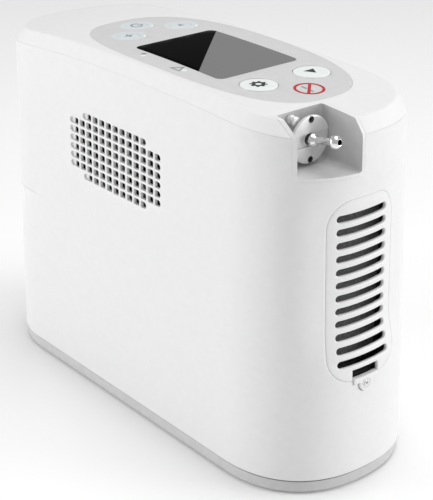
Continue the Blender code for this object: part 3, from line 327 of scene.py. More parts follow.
def lid_height(x, y):
    """The deck with its chamfer: a slope that meets the crowned deck in a small radius."""
    blend = CHAMFER_BLEND
    out = CHAMFER_WIDTH - top_inset(x, y)
    slope = CHAMFER_HEIGHT / CHAMFER_WIDTH
    curve = slope * (np.clip(out, -blend, blend) + blend) ** 2 / (4 * blend)
    return crown(x) - curve - slope * np.maximum(out - blend, 0.0)


# --- Sheets: flat outlines with holes, laid on a surface and given thickness


def loop_normals(points):
    """Outward miter directions of a closed counter-clockwise outline."""
    before = points - np.roll(points, 1, axis=0)
    after = np.roll(points, -1, axis=0) - points
    first = unit(rows(before[:, 1], -before[:, 0]))
    second = unit(rows(after[:, 1], -after[:, 0]))
    total = unit(first + second)
    return total / np.maximum((total * first).sum(1), 0.5)[:, None]


def area(points):
    x, y = points.T
    return 0.5 * np.sum(x * np.roll(y, -1) - y * np.roll(x, -1))


def near_box(points, outline, margin):
    low, high = outline.min(0) - margin, outline.max(0) + margin
    return np.nonzero(((points >= low) & (points <= high)).all(1))[0]


def inside(points, outline):
    close = near_box(points, outline, 0.0)
    px, py = points[close].T
    odd = np.zeros(len(close), bool)
    for (x1, y1), (x2, y2) in zip(outline, np.roll(outline, -1, axis=0)):
        crossing = (y1 > py) != (y2 > py)
        if crossing.any():
            at = (x2 - x1) * (py - y1) / ((y2 - y1) or 1e-12) + x1
            odd ^= crossing & (px < at)
    result = np.zeros(len(points), bool)
    result[close] = odd
    return result


def distance(points, outline):
    best = np.full(len(points), 1e9)
    for start, end in zip(outline, np.roll(outline, -1, axis=0)):
        step = end - start
        t = np.clip(((points - start) @ step) / max(step @ step, 1e-12), 0.0, 1.0)
        gap = points - start - t[:, None] * step
        best = np.minimum(best, np.hypot(gap[:, 0], gap[:, 1]))
    return best


class Sheet:
    """A flat region with holes. Loops may have a rounded edge of a given radius. build() makes it solid."""

    def __init__(self):
        self.points, self.edges, self.loops = [], [], []
        self.count = 0

    def trace(self, points, closed=True):
        """Lays down a chain of points that the triangles must follow."""
        start, size = self.count, len(points)
        self.points.append(points)
        self.count += size
        last = size if closed else size - 1
        self.edges += [(start + i, start + (i + 1) % size) for i in range(last)]

    def loop(self, points, radius=0.0, hole=True, steps=2, extra=()):
        """The region's outline or a hole, with helper chains across the rounding and at extra offsets."""
        points = np.asarray(points, float)
        if area(points) < 0:
            points = points[::-1]
        self.loops.append((points, radius, hole))
        self.trace(points)
        outward = loop_normals(points) * (1.0 if hole else -1.0)
        turns = [math.pi / 2 * k / steps for k in range(1, steps + 1)] if radius else []
        for offset in [*(radius * (1 - math.cos(turn)) for turn in turns), *extra]:
            self.trace(points + outward * offset)

    def grid(self, u, v, clearance):
        """Fills the region with points, kept clear of everything already laid down."""
        if min(len(u), len(v)) < 2:
            return
        uu, vv = np.meshgrid(u, v)
        shift = np.where(np.arange(len(v)) % 2, 0.5, 0.0)[:, None] * (u[1] - u[0])
        spots = rows((uu + shift).ravel(), vv.ravel())
        keep = np.ones(len(spots), bool)
        for points, _, hole in self.loops:
            keep &= inside(spots, points) != hole
        spots = spots[keep]
        laid = np.concatenate(self.points)
        taken = {}
        for index, (a, b) in enumerate(np.floor(laid / clearance).astype(int)):
            taken.setdefault((a, b), []).append(index)
        final = []
        for spot, (a, b) in zip(spots, np.floor(spots / clearance).astype(int)):
            near = [i for da in (-1, 0, 1) for db in (-1, 0, 1) for i in taken.get((a + da, b + db), ())]
            if not near or np.hypot(*(laid[near] - spot).T).min() >= clearance:
                final.append(spot)
        if final:
            self.points.append(np.array(final))
            self.count += len(final)

    def build(self, name, material, outer, inner, wrap=0.0):
        """Triangulates the region, lays it on two surfaces and joins their rims.
        wrap is the period of u for a region whose left and right sides meet."""
        flat = [Vector(p) for p in np.concatenate(self.points)]
        flat, _, faces, *_ = delaunay_2d_cdt(flat, self.edges, [], 0, 0.0005)
        uv = np.array([tuple(p) for p in flat])
        tri = np.array([tuple(f) for f in faces if len(f) == 3])
        a, b, c = uv[tri[:, 0]], uv[tri[:, 1]], uv[tri[:, 2]]
        turn = np.cross(b - a, c - a)
        tri[turn < 0] = tri[turn < 0][:, ::-1]
        middle = (a + b + c) / 3
        keep = np.abs(turn) > 1e-7
        depth = np.zeros(len(uv))
        for points, radius, hole in self.loops:
            keep &= inside(middle, points) != hole
            if radius:
                close = near_box(uv, points, radius)
                gap = np.clip(distance(uv[close], points), 0.0, radius)
                round_off = radius - np.sqrt(radius ** 2 - (radius - gap) ** 2)
                depth[close] = np.maximum(depth[close], round_off)
        tri = tri[keep]
        if wrap:
            low, high = uv[:, 0].min(), uv[:, 0].max()
            left = {round(uv[i, 1], 3): i for i in np.nonzero(uv[:, 0] < low + 1e-4)[0]}
            swap = np.arange(len(uv))
            for i in np.nonzero(uv[:, 0] > high - 1e-4)[0]:
                swap[i] = left[round(uv[i, 1], 3)]
            tri = swap[tri]
        used, tri = np.unique(tri, return_inverse=True)
        tri = tri.reshape(-1, 3)
        uv, depth = uv[used], depth[used]
        top, under = outer(uv, depth), inner(uv)
        count = len(uv)
        faces = tri.tolist()
        rims = dict.fromkeys((face[k], face[(k + 1) % 3]) for face in faces for k in range(3))
        faces += [[i + count for i in face[::-1]] for face in faces]
        faces += [(j, i, i + count, j + count) for i, j in rims if (j, i) not in rims]
        return make(name, np.concatenate([top, under]), faces, material)


def shade(mesh):
    mesh.shade_smooth()
    mesh.set_sharp_from_angle(angle=math.radians(38.0))


def add(name, data):
    item = bpy.data.objects.new(name, data)
    bpy.context.scene.collection.objects.link(item)
    return item


def make(name, points, faces, material):
    mesh = bpy.data.meshes.new(name)
    mesh.from_pydata([tuple(p) for p in np.asarray(points, float) * MM], [], faces)
    mesh.update()
    mesh.materials.append(material)
    shade(mesh)
    return add(name, mesh)


def arc(cx, cy, radius, start, end, steps):
    turns = np.radians(np.linspace(start, end, steps + 1))
    return rows(cx + radius * np.cos(turns), cy + radius * np.sin(turns))


def circle(cx, cy, radius, steps):
    return arc(cx, cy, radius, 0, 360, steps)[:-1]


def rounded(x0, y0, x1, y1, radius, spacing, steps):
    """A rounded rectangle with points all the way along its sides."""
    corners = [(x1 - radius, y1 - radius, 0), (x0 + radius, y1 - radius, 90)]
    corners += [(x0 + radius, y0 + radius, 180), (x1 - radius, y0 + radius, 270)]
    points = np.concatenate([arc(cx, cy, radius, start, start + 90, steps) for cx, cy, start in corners])
    return spaced(points, spacing)


def spaced(points, spacing):
    """Adds points along the long edges of an outline."""
    result = []
    for start, end in zip(points, np.roll(points, -1, axis=0)):
        count = max(1, int(math.ceil(np.hypot(*(end - start)) / spacing)))
        result += [start + (end - start) * k / count for k in range(count)]
    return np.array(result)


def on_side(points, right):
    """Turns (along, up) points of a side into sheet coordinates."""
    return rows(side_s(points[:, 0], right), points[:, 1])


def on_end(points, mapper):
    """Turns (across, up) points of an end into sheet coordinates."""
    return rows(mapper(*points.T), points[:, 1])


# --- Outlines shared by neighbouring pieces


def door_outline(grow):
    y0, y1 = DOOR_Y - DOOR_HALF - grow, DOOR_Y + DOOR_HALF + grow
    return rounded(y0, DOOR_BOTTOM - grow, y1, DOOR_TOP + grow, DOOR_CORNER + grow, 1.6, 10)


def latch_outline(grow):
    """The latch plate with its round lug, counter-clockwise from the right shoulder."""
    half, radius, shoulder = SHOULDER_HALF + grow, LUG_RADIUS + grow, SHOULDER_Z - grow
    lean = math.degrees(math.asin(min((shoulder - LUG_Z) / radius, 1.0)))
    lug = arc(DOOR_Y, LUG_Z, radius, 180 - lean, 360 + lean, 22)
    corners = [(DOOR_Y + half, shoulder), (DOOR_Y + half, WINDOW_BOTTOM + grow)]
    corners += [(DOOR_Y - half, WINDOW_BOTTOM + grow), (DOOR_Y - half, shoulder)]
    return spaced(np.concatenate([np.array(corners), lug]), 1.5)


def door_and_latch_outline(grow):
    """The housing's opening: the door's outline with the latch's shape hanging from its lower edge."""
    edge, half = DOOR_BOTTOM - grow, SHOULDER_HALF + grow
    latch = latch_outline(grow)
    below = latch[latch[:, 1] < edge - 0.05]
    turn = np.arctan2(below[:, 1] - (DOOR_BOTTOM + 6.0), below[:, 0] - DOOR_Y)
    door = door_outline(grow)
    cut = (np.abs(door[:, 0] - DOOR_Y) < half + 0.3) & (door[:, 1] < edge + 0.01)
    start = int(np.nonzero(cut)[0][0])
    rest = np.roll(door, -start, axis=0)[~np.roll(cut, -start)]
    left, right = [(DOOR_Y - half, edge)], [(DOOR_Y + half, edge)]
    return np.concatenate([left, below[np.argsort(turn)], right, rest])


def slot(cx, cy, half_length, half_height, spacing, steps):
    """A long hole with round ends."""
    reach = half_length - half_height
    right = arc(cx + reach, cy, half_height, -90, 90, steps)
    left = arc(cx - reach, cy, half_height, 90, 270, steps)
    return spaced(np.concatenate([right, left]), spacing)


def grille_holes():
    """Outlines of the side grille's holes in (x, z): 13 columns, the outer rows two holes shorter."""
    half, tight = GRILLE_HEIGHT / 2, 0.55
    for row in range(GRILLE_ROWS):
        z = GRILLE_TOP - GRILLE_ROW * row
        skip = GRILLE_SKIP if row in (0, GRILLE_ROWS - 1) else 0
        for column in range(skip, GRILLE_COLUMNS - skip):
            left = GRILLE_START + column * GRILLE_PITCH
            right = left + GRILLE_PITCH - GRILLE_RIB
            wide = half - 0.05 if column == GRILLE_COLUMNS - 1 - skip else tight
            yield np.concatenate([
                arc(right - wide, z + half - wide, wide, 0, 90, 3),
                arc(left + tight, z + half - tight, tight, 90, 180, 3),
                arc(left + tight, z - half + tight, tight, 180, 270, 3),
                arc(right - wide, z - half + wide, wide, 270, 360, 3),
            ])


def row_start(z):
    """Left edge of the first hole of the grille row nearest to a height, and that row's height."""
    last = GRILLE_ROWS - 1
    row = np.clip(np.round((GRILLE_TOP - z) / GRILLE_ROW), 0, last)
    start = GRILLE_START + GRILLE_SKIP * GRILLE_PITCH * ((row == 0) | (row == last))
    return start, GRILLE_TOP - GRILLE_ROW * row


def row_end(uv):
    """Depth of the shallow rounded end that each grille row has before its first hole."""
    place_at = wall_point(uv[:, 0], uv[:, 1])
    x, z = place_at[:, 0], uv[:, 1]
    start, row_z = row_start(z)
    half = GRILLE_HEIGHT / 2
    margin = half - np.hypot(np.maximum(start - GRILLE_CAP + half - x, 0.0), z - row_z)
    within = (x < start + 0.1) & (place_at[:, 1] < 0)
    return np.where(within, GRILLE_END_DEPTH * ease(margin / 0.15), 0.0)


# --- Housing and lid


def seam_z(x):
    """Height of the housing's upper edge, just under the lid."""
    return crown(x) - CHAMFER_HEIGHT - SKIRT - LID_GAP


def seam_edge(s):
    """The housing's upper edge as sheet points."""
    x, _ = plan(w_at(s), draft(SEAM_LEVEL))
    return rows(s, seam_z(x))


def notch_flank(y):
    """One upright edge of the pocket's notch, from the housing's upper edge down to the round corner."""
    foot = POCKET_FLOOR - POCKET_WALL - LID_GAP + POCKET_ROUND
    edge = seam_edge(near_s(y, 146.0) + ROUND)[..., 1]
    z = foot + (edge - foot) * np.linspace(1.0, 0.0, 9)
    return rows(near_s(y, z) + ROUND, z)


def housing_edge(s):
    """The housing's upper edge with the notch for the pocket, from the first to the last s."""
    grow = POCKET_WALL + LID_GAP
    foot, r = POCKET_FLOOR - grow + POCKET_ROUND, POCKET_ROUND
    left, right = notch_flank(POCKET_LEFT - grow), notch_flank(POCKET_RIGHT + grow)[::-1]
    corner_l = arc(left[-1, 0] + r, foot, r, 180, 270, 4)[1:]
    corner_r = arc(right[0, 0] - r, foot, r, 270, 360, 4)[:-1]
    count = math.ceil((corner_r[0, 0] - corner_l[-1, 0]) / 1.6)
    base_run = np.linspace(corner_l[-1], corner_r[0], count + 1)[1:-1]
    top = seam_edge(s)
    before, after = top[s < left[0, 0] - 0.6], top[s > right[-1, 0] + 0.6]
    return np.concatenate([before, left, corner_l, base_run, corner_r, right, after])


def build_housing():
    """The shell is unrolled with its cut on the +Y side, and welded there again by build()."""
    sheet = Sheet()
    cut = side_s(50.0, False)
    s = np.linspace(cut, cut + ROUND, 281)
    levels = np.array([*np.linspace(HOUSING_BOTTOM, 80.0, 26)[1:], *STEP_ROWS, *UPPER_LEVELS])
    lower = rows(s, HOUSING_BOTTOM)
    right_side = rows(cut + ROUND, levels)
    left_side = rows(cut, levels[::-1])
    outline = np.concatenate([lower, right_side, housing_edge(s)[::-1], left_side])
    sheet.loop(outline, hole=False)

    for points in grille_holes():
        sheet.loop(on_side(points, True), 0.35)
    for row in range(GRILLE_ROWS):
        start, z = row_start(GRILLE_TOP - GRILLE_ROW * row)
        for radius in (GRILLE_HEIGHT / 2, GRILLE_HEIGHT / 2 - 0.15):
            end = arc(start - GRILLE_CAP + GRILLE_HEIGHT / 2, z, radius, 90, 270, 10)
            edge = np.concatenate([[(start - 0.05, z + radius)], end, [(start - 0.05, z - radius)]])
            sheet.trace(on_side(edge, True), closed=False)
        sheet.loop(on_side(slot(GRILLE_MIDDLE, z, 31.0, 1.0, 4.0, 5), False), 0.3)
    door = on_end(door_and_latch_outline(SEAM), near_s)
    door[:, 0] += ROUND
    sheet.loop(door, 0.2, extra=(1.4,))
    battery = rounded(-26.25, 9.75, 26.25, 80.25, 1.6, 2.5, 4)
    sheet.loop(on_end(battery, far_s), 0.4, extra=(1.6,))
    key = rounded(-9.2, LATCH_Z - 4.2, 9.2, LATCH_Z + 4.2, 1.2, 2.0, 4)
    socket = circle(0.0, SOCKET_Z, 7.75, 40)
    for points in (key, socket):
        sheet.loop(on_end(points, far_s), 0.4, extra=(1.4,))
    for z in STEP_ROWS:
        stops = [side_s(-56.0, False), far_s(27.6, z), far_s(-27.6, z), side_s(-56.0, True)]
        for first, last, count in zip(stops, stops[1:], (26, 24, 26)):
            sheet.trace(rows(np.linspace(first, last, count), z), closed=False)
    upward = np.arange(HOUSING_BOTTOM + 2.4, 157.0, 2.6)
    sheet.grid(np.arange(cut + 1.5, cut + ROUND - 1.4, 2.7), upward, 1.35)

    centres = [side_s(GRILLE_MIDDLE, right) for right in (True, False)]

    def inner(uv):
        """The wall is thinner behind the grille and the exhaust slots."""
        beside = np.min([np.abs(uv[:, 0] - centre) for centre in centres], axis=0) - 38.0
        away = np.maximum(beside, np.abs(uv[:, 1] - 117.8) - 18.0)
        return wall_map(uv, VENT_WALL + (WALL - VENT_WALL) * ease(away / 4.0 + 1.0))

    def outer(uv, depth):
        return wall_map(uv, depth + row_end(uv))

    housing = sheet.build("housing_shell", WHITE, outer, inner, wrap=ROUND)
    place(housing, "white_shell", "housing")


def place(item, slot_name, *nodes, body="main_body"):
    """Ties a finished piece to its body and hides the CAD nodes it stands for; the record finish it is given
    is not used.
    """
    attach(item, body)
    if nodes:
        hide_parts(*nodes)


def build_lid():
    sheet = Sheet()
    grow = POCKET_WALL + LID_GAP
    x0, x1, y0, y1 = POCKET_X - grow, HALF_LENGTH + 4, POCKET_LEFT - grow, POCKET_RIGHT + grow

    def outline(inset):
        return rows(*plan(w_at(np.linspace(0.0, ROUND, 301)[:-1]), LID_SHRINK + inset))

    sheet.loop(outline(0.0), hole=False)
    for inset in (0.6, 1.6, 2.8, 3.85, 4.1, 4.3, 4.5, 4.75, 6.0, 8.5):
        sheet.trace(outline(inset))
    notch = spaced(np.array([(x0, y0), (x1, y0), (x1, y1), (x0, y1)]), 1.6)
    sheet.loop(notch, 0.12)
    sheet.loop(panel_outline(0.05), 0.1, extra=(1.5,))
    sheet.grid(np.arange(-108.0, 108.0, 3.2), np.arange(-36.0, 36.1, 3.0), 1.5)

    def outer(uv, depth):
        return rows(*uv.T, lid_height(*uv.T) - depth)

    def inner(uv):
        x, y = uv.T
        under = np.minimum(crown(x) - WALL, lid_height(x, y) - 3.4)
        return rows(x, y, np.maximum(under, seam_z(x) + LID_GAP))

    lid = sheet.build("lid", WHITE, outer, inner)
    place(lid, "white_shell", "top_cover")


def panel_outline(grow):
    """The oval film: a superellipse between a true oval and a rectangle."""
    turns = np.linspace(0.0, 2 * math.pi, 181)[:-1]
    c, s = np.cos(turns), np.sin(turns)
    x = 12.0 + (70.0 + grow) * np.sign(c) * np.abs(c) ** (2 / 2.7)
    y = 0.8 + (32.0 + grow) * np.sign(s) * np.abs(s) ** (2 / 2.7)
    return rows(x, y)


LARGE_KEYS = {"settings_key": (55.6, -12.5), "select_key": (56.5, 15.0)}
SMALL_KEYS = {"power_key": (-44.4, 2.1), "flow_key": (-31.6, -11.6), "mute_key": (-30.2, 16.2)}
KEYS = {**LARGE_KEYS, **SMALL_KEYS}
LED_OFFSET = (5.2, 4.7)
LED_HOLE, SMALL_HOLE, LARGE_HOLE = 0.98, 5.04, 7.85
SCREEN = (-15.0, -21.05, 42.0, 21.45, 3.2)


def deck_map(lift, level=None):
    """A surface that follows the deck's crown, or lies flat where level gives a height."""
    def outer(uv, depth):
        height = crown(uv[:, 0]) if level is None else level
        return rows(*uv.T, height + lift - depth)
    return outer


def deck_piece(name, material, outline, lift, thickness, radius, holes=(), spacing=3.0, level=None):
    """A thin piece on the deck."""
    sheet = Sheet()
    sheet.loop(outline, radius, hole=False)
    for hole in holes:
        sheet.loop(hole, min(radius, 0.12))
    low, high = outline.min(0), outline.max(0)
    sheet.grid(np.arange(low[0], high[0], spacing), np.arange(low[1], high[1], spacing), spacing * 0.5)
    outer = deck_map(lift, level)
    return sheet.build(name, material, outer, lambda uv: outer(uv, thickness))


def build_panel():
    x0, y0, x1, y1, corner = SCREEN
    holes = [rounded(x0 - 0.12, y0 - 0.12, x1 + 0.12, y1 + 0.12, corner, 2.5, 8)]
    holes += [circle(*at, LARGE_HOLE, 64) for at in LARGE_KEYS.values()]
    holes += [circle(*at, SMALL_HOLE, 48) for at in SMALL_KEYS.values()]
    holes += [circle(x + LED_OFFSET[0], y + LED_OFFSET[1], LED_HOLE, 24) for x, y in SMALL_KEYS.values()]
    panel = deck_piece("panel_film", FILM, panel_outline(0.0), 0.0, 0.5, 0.1, holes)
    place(panel, "panel_film", "control_panel")
    glass = deck_piece("display_window", GLASS_WITH_GLARE, rounded(x0, y0, x1, y1, corner, 2.5, 8), 0.02, 1.6, 0.2)
    place(glass, "display_glass", "screen_glass")
    dome = [(0.0, 0.32), (0.45, 0.25), (0.78, 0.02), (0.85, -0.3), (0.85, -6.6), (0.0, -6.6)]
    for name, (x, y) in SMALL_KEYS.items():
        led_at = (x + LED_OFFSET[0], y + LED_OFFSET[1])
        holes = [circle(x, y, SMALL_HOLE, 48), circle(*led_at, LED_HOLE, 24)]
        ring = deck_piece(f"{name}_disc", DISC, circle(x, y, 7.7, 72), 0.05, 0.05, 0.0, holes)
        place(ring, "panel_film")
        led = name.replace("key", "led")
        lens = turned(f"{led}_lens", dome, (*led_at, crown(led_at[0])), "Z", LENS, 24)
        place(lens, "key_white", led)


# --- Turned pieces


TURN = {
    "X": Matrix.Rotation(math.radians(90), 4, "Y"),
    "-X": Matrix.Rotation(math.radians(-90), 4, "Y"),
    "Z": Matrix.Identity(4),
}


def turned(name, profile, centre, axis, material, steps=64, closed=False):
    """Spins (radius, height) points round an axis; points on the axis become a single vertex."""
    matrix = TURN[axis] if isinstance(axis, str) else axis
    points, rings, faces = [], [], []
    for radius, height in profile:
        if radius < 1e-6:
            rings.append([len(points)] * steps)
            points.append((0.0, 0.0, height))
            continue
        rings.append(list(range(len(points), len(points) + steps)))
        for k in range(steps):
            turn = 2 * math.pi * k / steps
            points.append((radius * math.cos(turn), radius * math.sin(turn), height))
    pairs = list(zip(rings, rings[1:]))
    if closed:
        pairs.append((rings[-1], rings[0]))
    for upper, lower in pairs:
        for k in range(steps):
            n = (k + 1) % steps
            corners = [upper[k], lower[k], lower[n], upper[n]]
            face = [v for i, v in enumerate(corners) if v not in corners[:i]]
            if len(face) > 2:
                faces.append(tuple(face))
    return make(name, [(matrix @ Vector(p)) + Vector(centre) for p in points], faces, material)


def drill(radius, low, high, centre, axis, material, steps=40):
    """A plain cylinder for cutting, between two heights along its axis."""
    profile = [(0, high), (radius, high), (radius, low), (0, low)]
    return turned("cut", profile, centre, axis, material, steps)


def soft(profile, radius):
    """Rounds the corners of a profile, with three points for each corner."""
    points = [Vector(p) for p in profile]
    result = [points[0]]
    for before, here, after in zip(points, points[1:], points[2:]):
        back, ahead = before - here, after - here
        if min(back.length, ahead.length) < 1e-6:
            result.append(here)
            continue
        reach = min(radius, back.length * 0.4, ahead.length * 0.4)
        first, last = here + back.normalized() * reach, here + ahead.normalized() * reach
        result += [first, (first + last) / 4 + here / 2, last]
    result.append(points[-1])
    return [tuple(p) for p in result]


def build_keys():
    for name, (x, y) in LARGE_KEYS.items():
        r = 7.7
        profile = soft([(0, 0.22), (r - 1.2, 0.22), (r - 0.15, 0.1), (r, -0.3), (r, -3.1), (r + 1.2, -3.1),
                        (r + 1.2, -4.1), (2.0, -4.1), (2.0, -5.7), (0, -5.7)], 0.2)
        cap = turned(name + "_cap", profile, (x, y, crown(x)), "Z", KEY, 72)
        place(cap, "key_white", name, body=name)
    for name, (x, y) in SMALL_KEYS.items():
        stem = crown(x) - 154.7
        profile = soft([(0, 0.07), (4.9, 0.05), (5.0, -0.3), (5.0, -3.4), (2.0, -3.4), (2.0, -stem),
                        (0, -stem)], 0.12)
        cap = turned(name + "_cap", profile, (x, y, crown(x)), "Z", DISC, 56)
        place(cap, "key_white", name, body=name)


def icon(name, body, material, lift, outlines, holes=()):
    """A printed mark or a painted highlight: a very thin piece on a key or on the panel."""
    level = crown(KEYS[body][0]) if body in KEYS else None
    for number, outline in enumerate(outlines):
        holed = [h for h in holes if inside(h[:1], outline)[0]]
        mark = deck_piece(f"{name}_{number + 1}", material, outline, lift, 0.06, 0.0, holed, 2.0, level)
        place(mark, "key_white" if body in KEYS else "panel_film", body=body)


def build_icons():
    lift = 0.25
    x, y = 55.4, -12.4
    teeth = 8
    gear = []
    for k in range(teeth):
        for turn, radius in ((-14, 2.75), (-8, 3.65), (8, 3.65), (14, 2.75)):
            a = math.radians(360.0 * k / teeth + turn)
            gear.append((x + radius * math.cos(a), y + radius * math.sin(a)))
    icon("settings_mark", "settings_key", INK, lift, [np.array(gear)], [circle(x, y, 1.25, 24)])
    x, y = 56.2, 15.2
    arrow = np.array([(x - 1.9, y - 2.7), (x + 2.9, y), (x - 1.9, y + 2.7)])
    icon("select_mark", "select_key", INK, lift, [arrow])

    x, y = 70.5, 0.75
    icon("no_smoking_ring", "main_body", RED, 0.07, [circle(x, y, 6.3, 72)], [circle(x, y, 5.15, 64)])
    icon("no_smoking_bar", "main_body", RED, 0.09, [turned_box(x, y, 5.35, 0.62, -45)])
    dashes = [turned_box(x - 2.1, y - 0.9, 1.5, 0.45, 0), turned_box(x + 2.3, y - 0.9, 1.0, 0.45, 0)]
    icon("cigarette", "main_body", SOFT_INK, 0.06, dashes)

    lift = 0.1
    x, y = SMALL_KEYS["power_key"]
    ring = np.concatenate([arc(x, y, 2.9, 125, 415, 40), arc(x, y, 2.05, 415, 125, 40)])
    icon("power_mark", "power_key", SOFT_INK, lift, [ring, turned_box(x, y + 1.9, 1.6, 0.42, 90)])
    x, y = SMALL_KEYS["flow_key"]
    plus = [turned_box(x, y, 1.9, 0.45, 0)] + [turned_box(x, y + up, 0.75, 0.45, 90) for up in (1.25, -1.25)]
    icon("flow_mark", "flow_key", SOFT_INK, lift, plus)
    x, y = SMALL_KEYS["mute_key"]
    horn = [(-1.7, -0.6), (-0.7, -0.6), (0.7, -1.6), (0.7, 1.6), (-0.7, 0.6), (-1.7, 0.6)]
    icon("mute_mark", "mute_key", SOFT_INK, lift, [np.array(horn) + (x, y)])

    lift = 0.05
    x, y = -4.1, -23.7
    foot = np.array([(-0.9, -0.9), (-1.2, -1.3), (1.2, -1.3), (0.9, -0.9)]) + (x, y)
    bell = np.concatenate([arc(x, y, 0.9, 0, 180, 14), foot])
    icon("bell_mark", "main_body", SOFT_INK, lift, [bell])
    x, y = 20.9, -24.7
    outer = np.array([(-3.2, -2.6), (3.2, -2.6), (0.0, 2.9)]) + (x, y)
    hole = np.array([(-1.9, -1.85), (1.9, -1.85), (0.0, 1.4)]) + (x, y)
    icon("warning_mark", "main_body", SOFT_INK, lift, [outer], [hole])
    # Painted highlights: flat white spots by the bell and warning marks, for light caught on small bumps of
    # the panel.
    spots = [circle(-2.3, -25.6, 1.1, 20), circle(24.4, -24.9, 1.2, 24)]
    icon("highlight_spot", "main_body", KEY, 0.06, spots)


def turned_box(x, y, half_length, half_width, angle):
    """A rectangle about a point, turned by an angle in degrees."""
    a = math.radians(angle)
    c, s = math.cos(a), math.sin(a)
    corners = [(half_length * u, half_width * v) for u, v in ((-1, -1), (1, -1), (1, 1), (-1, 1))]
    return np.array([(x + u * c - v * s, y + u * s + v * c) for u, v in corners])


# --- Base


def loft(name, rings, material):
    """Skins rings of equal size; end rings are closed with one face each."""
    count = len(rings[0])
    points = np.concatenate(rings)
    faces = []
    for level in range(len(rings) - 1):
        a, b = level * count, (level + 1) * count
        faces += [(a + k, a + (k + 1) % count, b + (k + 1) % count, b + k) for k in range(count)]
    faces.append(tuple(range(count))[::-1])
    faces.append(tuple(range((len(rings) - 1) * count, len(rings) * count)))
    return make(name, points, faces, material)


def level_ring(z, inset):
    x, y = plan(w_at(np.linspace(0.0, ROUND, 241)[:-1]), draft(z) + inset)
    return rows(x, y, z)


def combine(item, operation, tools):
    """Exact booleans; faces cut by a tool take the tool's material."""
    for tool in tools:
        step = item.modifiers.new("combine", "BOOLEAN")
        step.operation = operation
        step.material_mode = "TRANSFER"
        step.solver = "EXACT"
        step.object = tool
    settle(item)


def trim(item, guide):
    """Keeps what lies inside the body's outer surface."""
    combine(item, "INTERSECT", [guide])


def subtract(item, *cutters):
    """Cuts helper shapes out of a piece and removes the helpers."""
    combine(item, "DIFFERENCE", cutters)
    for cutter in cutters:
        bpy.data.objects.remove(cutter)


def settle(item):
    """Makes the result of an object's modifiers its own mesh."""
    graph = bpy.context.evaluated_depsgraph_get()
    mesh = bpy.data.meshes.new_from_object(item.evaluated_get(graph))
    item.modifiers.clear()
    item.data = mesh
    shade(mesh)


SCREWS = [(x, y) for x in (-66.0, 66.0) for y in (-35.2, 35.2)]
FEET = [(x, y) for x in (-72.0, 72.0) for y in (-24.0, 24.0)]


def build_base():
    """A tray whose rim has a groove that takes the housing's lower edge."""
    rim = [(1.0, 0.7), (1.12, 0.35), (1.35, 0.12), (1.7, 0.0), (4.0, 0.0), (5.85, 0.0), (5.97, 0.03)]
    rim += [(6.0, 0.1), (5.9, 0.2), (4.3, 0.25), (4.3, 1.6), (6.0, 1.65)]
    rings = [level_ring(z, BASE_INSET + inset) for z, inset in rim]
    base = loft("base_tray", rings + [level_ring(6.0, 3.2), level_ring(3.6, 3.3)], BASE)
    pad = soft([(0, 1.6), (7.0, 1.6), (7.0, 0.0), (5.4, 0.0), (5.2, 0.3), (0, 0.3)], 0.3)
    head = [(0, 3.2), (2.7, 3.2), (2.7, 1.75), (2.4, 1.6), (1.25, 1.6), (1.1, 1.9), (0, 1.9)]
    cutters = []
    for number, (x, y) in enumerate(FEET, 1):
        cutters.append(drill(7.3, -1.0, 1.8, (x, y, 0), "Z", BASE, 48))
        foot = turned(f"foot_pad_{number}", pad, (x, y, 0), "Z", RUBBER, 48)
        place(foot, "black_rubber", f"foot_{number}")
    for number, (x, y) in enumerate(SCREWS, 1):
        cutters.append(drill(3.0, -1.0, 3.3, (x, y, 0), "Z", BASE, 32))
        screw = turned(f"screw_head_{number}", head, (x, y, 0), "Z", SATIN, 32)
        place(screw, "satin_metal", f"base_screw_{number}")
    subtract(base, *cutters)
    place(base, "grey_base", "base_plate")


# --- Outlet


def envelope():
    """The body's outer surface as one closed solid, for trimming pieces flush with it."""
    levels = [*np.linspace(1.0, 50.0, 6), *np.linspace(52.0, 81.0, 14), *STEP_ROWS, *UPPER_LEVELS]
    s = np.linspace(0.0, ROUND, 361)[:-1]
    rings = [wall_point(s, z) for z in levels]
    for inset in (0.0, 3.85, 4.3, 4.75, 12.0):
        x, y = plan(w_at(s), LID_SHRINK + inset)
        rings.append(rows(x, y, lid_height(x, y) if inset else crown(x) - CHAMFER_HEIGHT))
    return loft("guide", rings, WHITE)


def block(name, low, high, material, bevel=0.0, segments=3):
    """A box between two corners, with rounded edges where bevel gives a radius."""
    low, high = Vector(low), Vector(high)
    corners = [(x, y, z) for z in (low.z, high.z) for y in (low.y, high.y) for x in (low.x, high.x)]
    faces = [(0, 2, 3, 1), (4, 5, 7, 6), (0, 1, 5, 4), (2, 6, 7, 3), (0, 4, 6, 2), (1, 3, 7, 5)]
    item = make(name, corners, faces, material)
    if bevel:
        step = item.modifiers.new("round", "BEVEL")
        step.width = bevel * MM
        step.segments = segments
        settle(item)
    return item


def build_pocket(guide):
    """The pocket's lining, trimmed so that its rim is flush with the body."""
    low = Vector((POCKET_X, POCKET_LEFT, POCKET_FLOOR))
    w = POCKET_WALL
    shell = block("pocket_liner", low - Vector((w, w, w)), (130, POCKET_RIGHT + w, 180), POCKET_SHADE_GREY)
    trim(shell, guide)
    # Faces cut by these shapes take the darker grey: painted shade inside the pocket.
    hollow = block("cut", low, (140, POCKET_RIGHT, 190), POCKET_SHADE_GREY, POCKET_ROUND, 4)
    bore = drill(3.6, -6, 6, (POCKET_X, OUTLET_Y, OUTLET_Z), "X", POCKET_SHADE_GREY)
    pin = drill(1.1, -6, 6, (POCKET_X, PIN_Y, PIN_Z), "X", POCKET_SHADE_GREY, 24)
    subtract(shell, hollow, bore, pin)
    place(shell, "white_shell", "outlet_pocket")


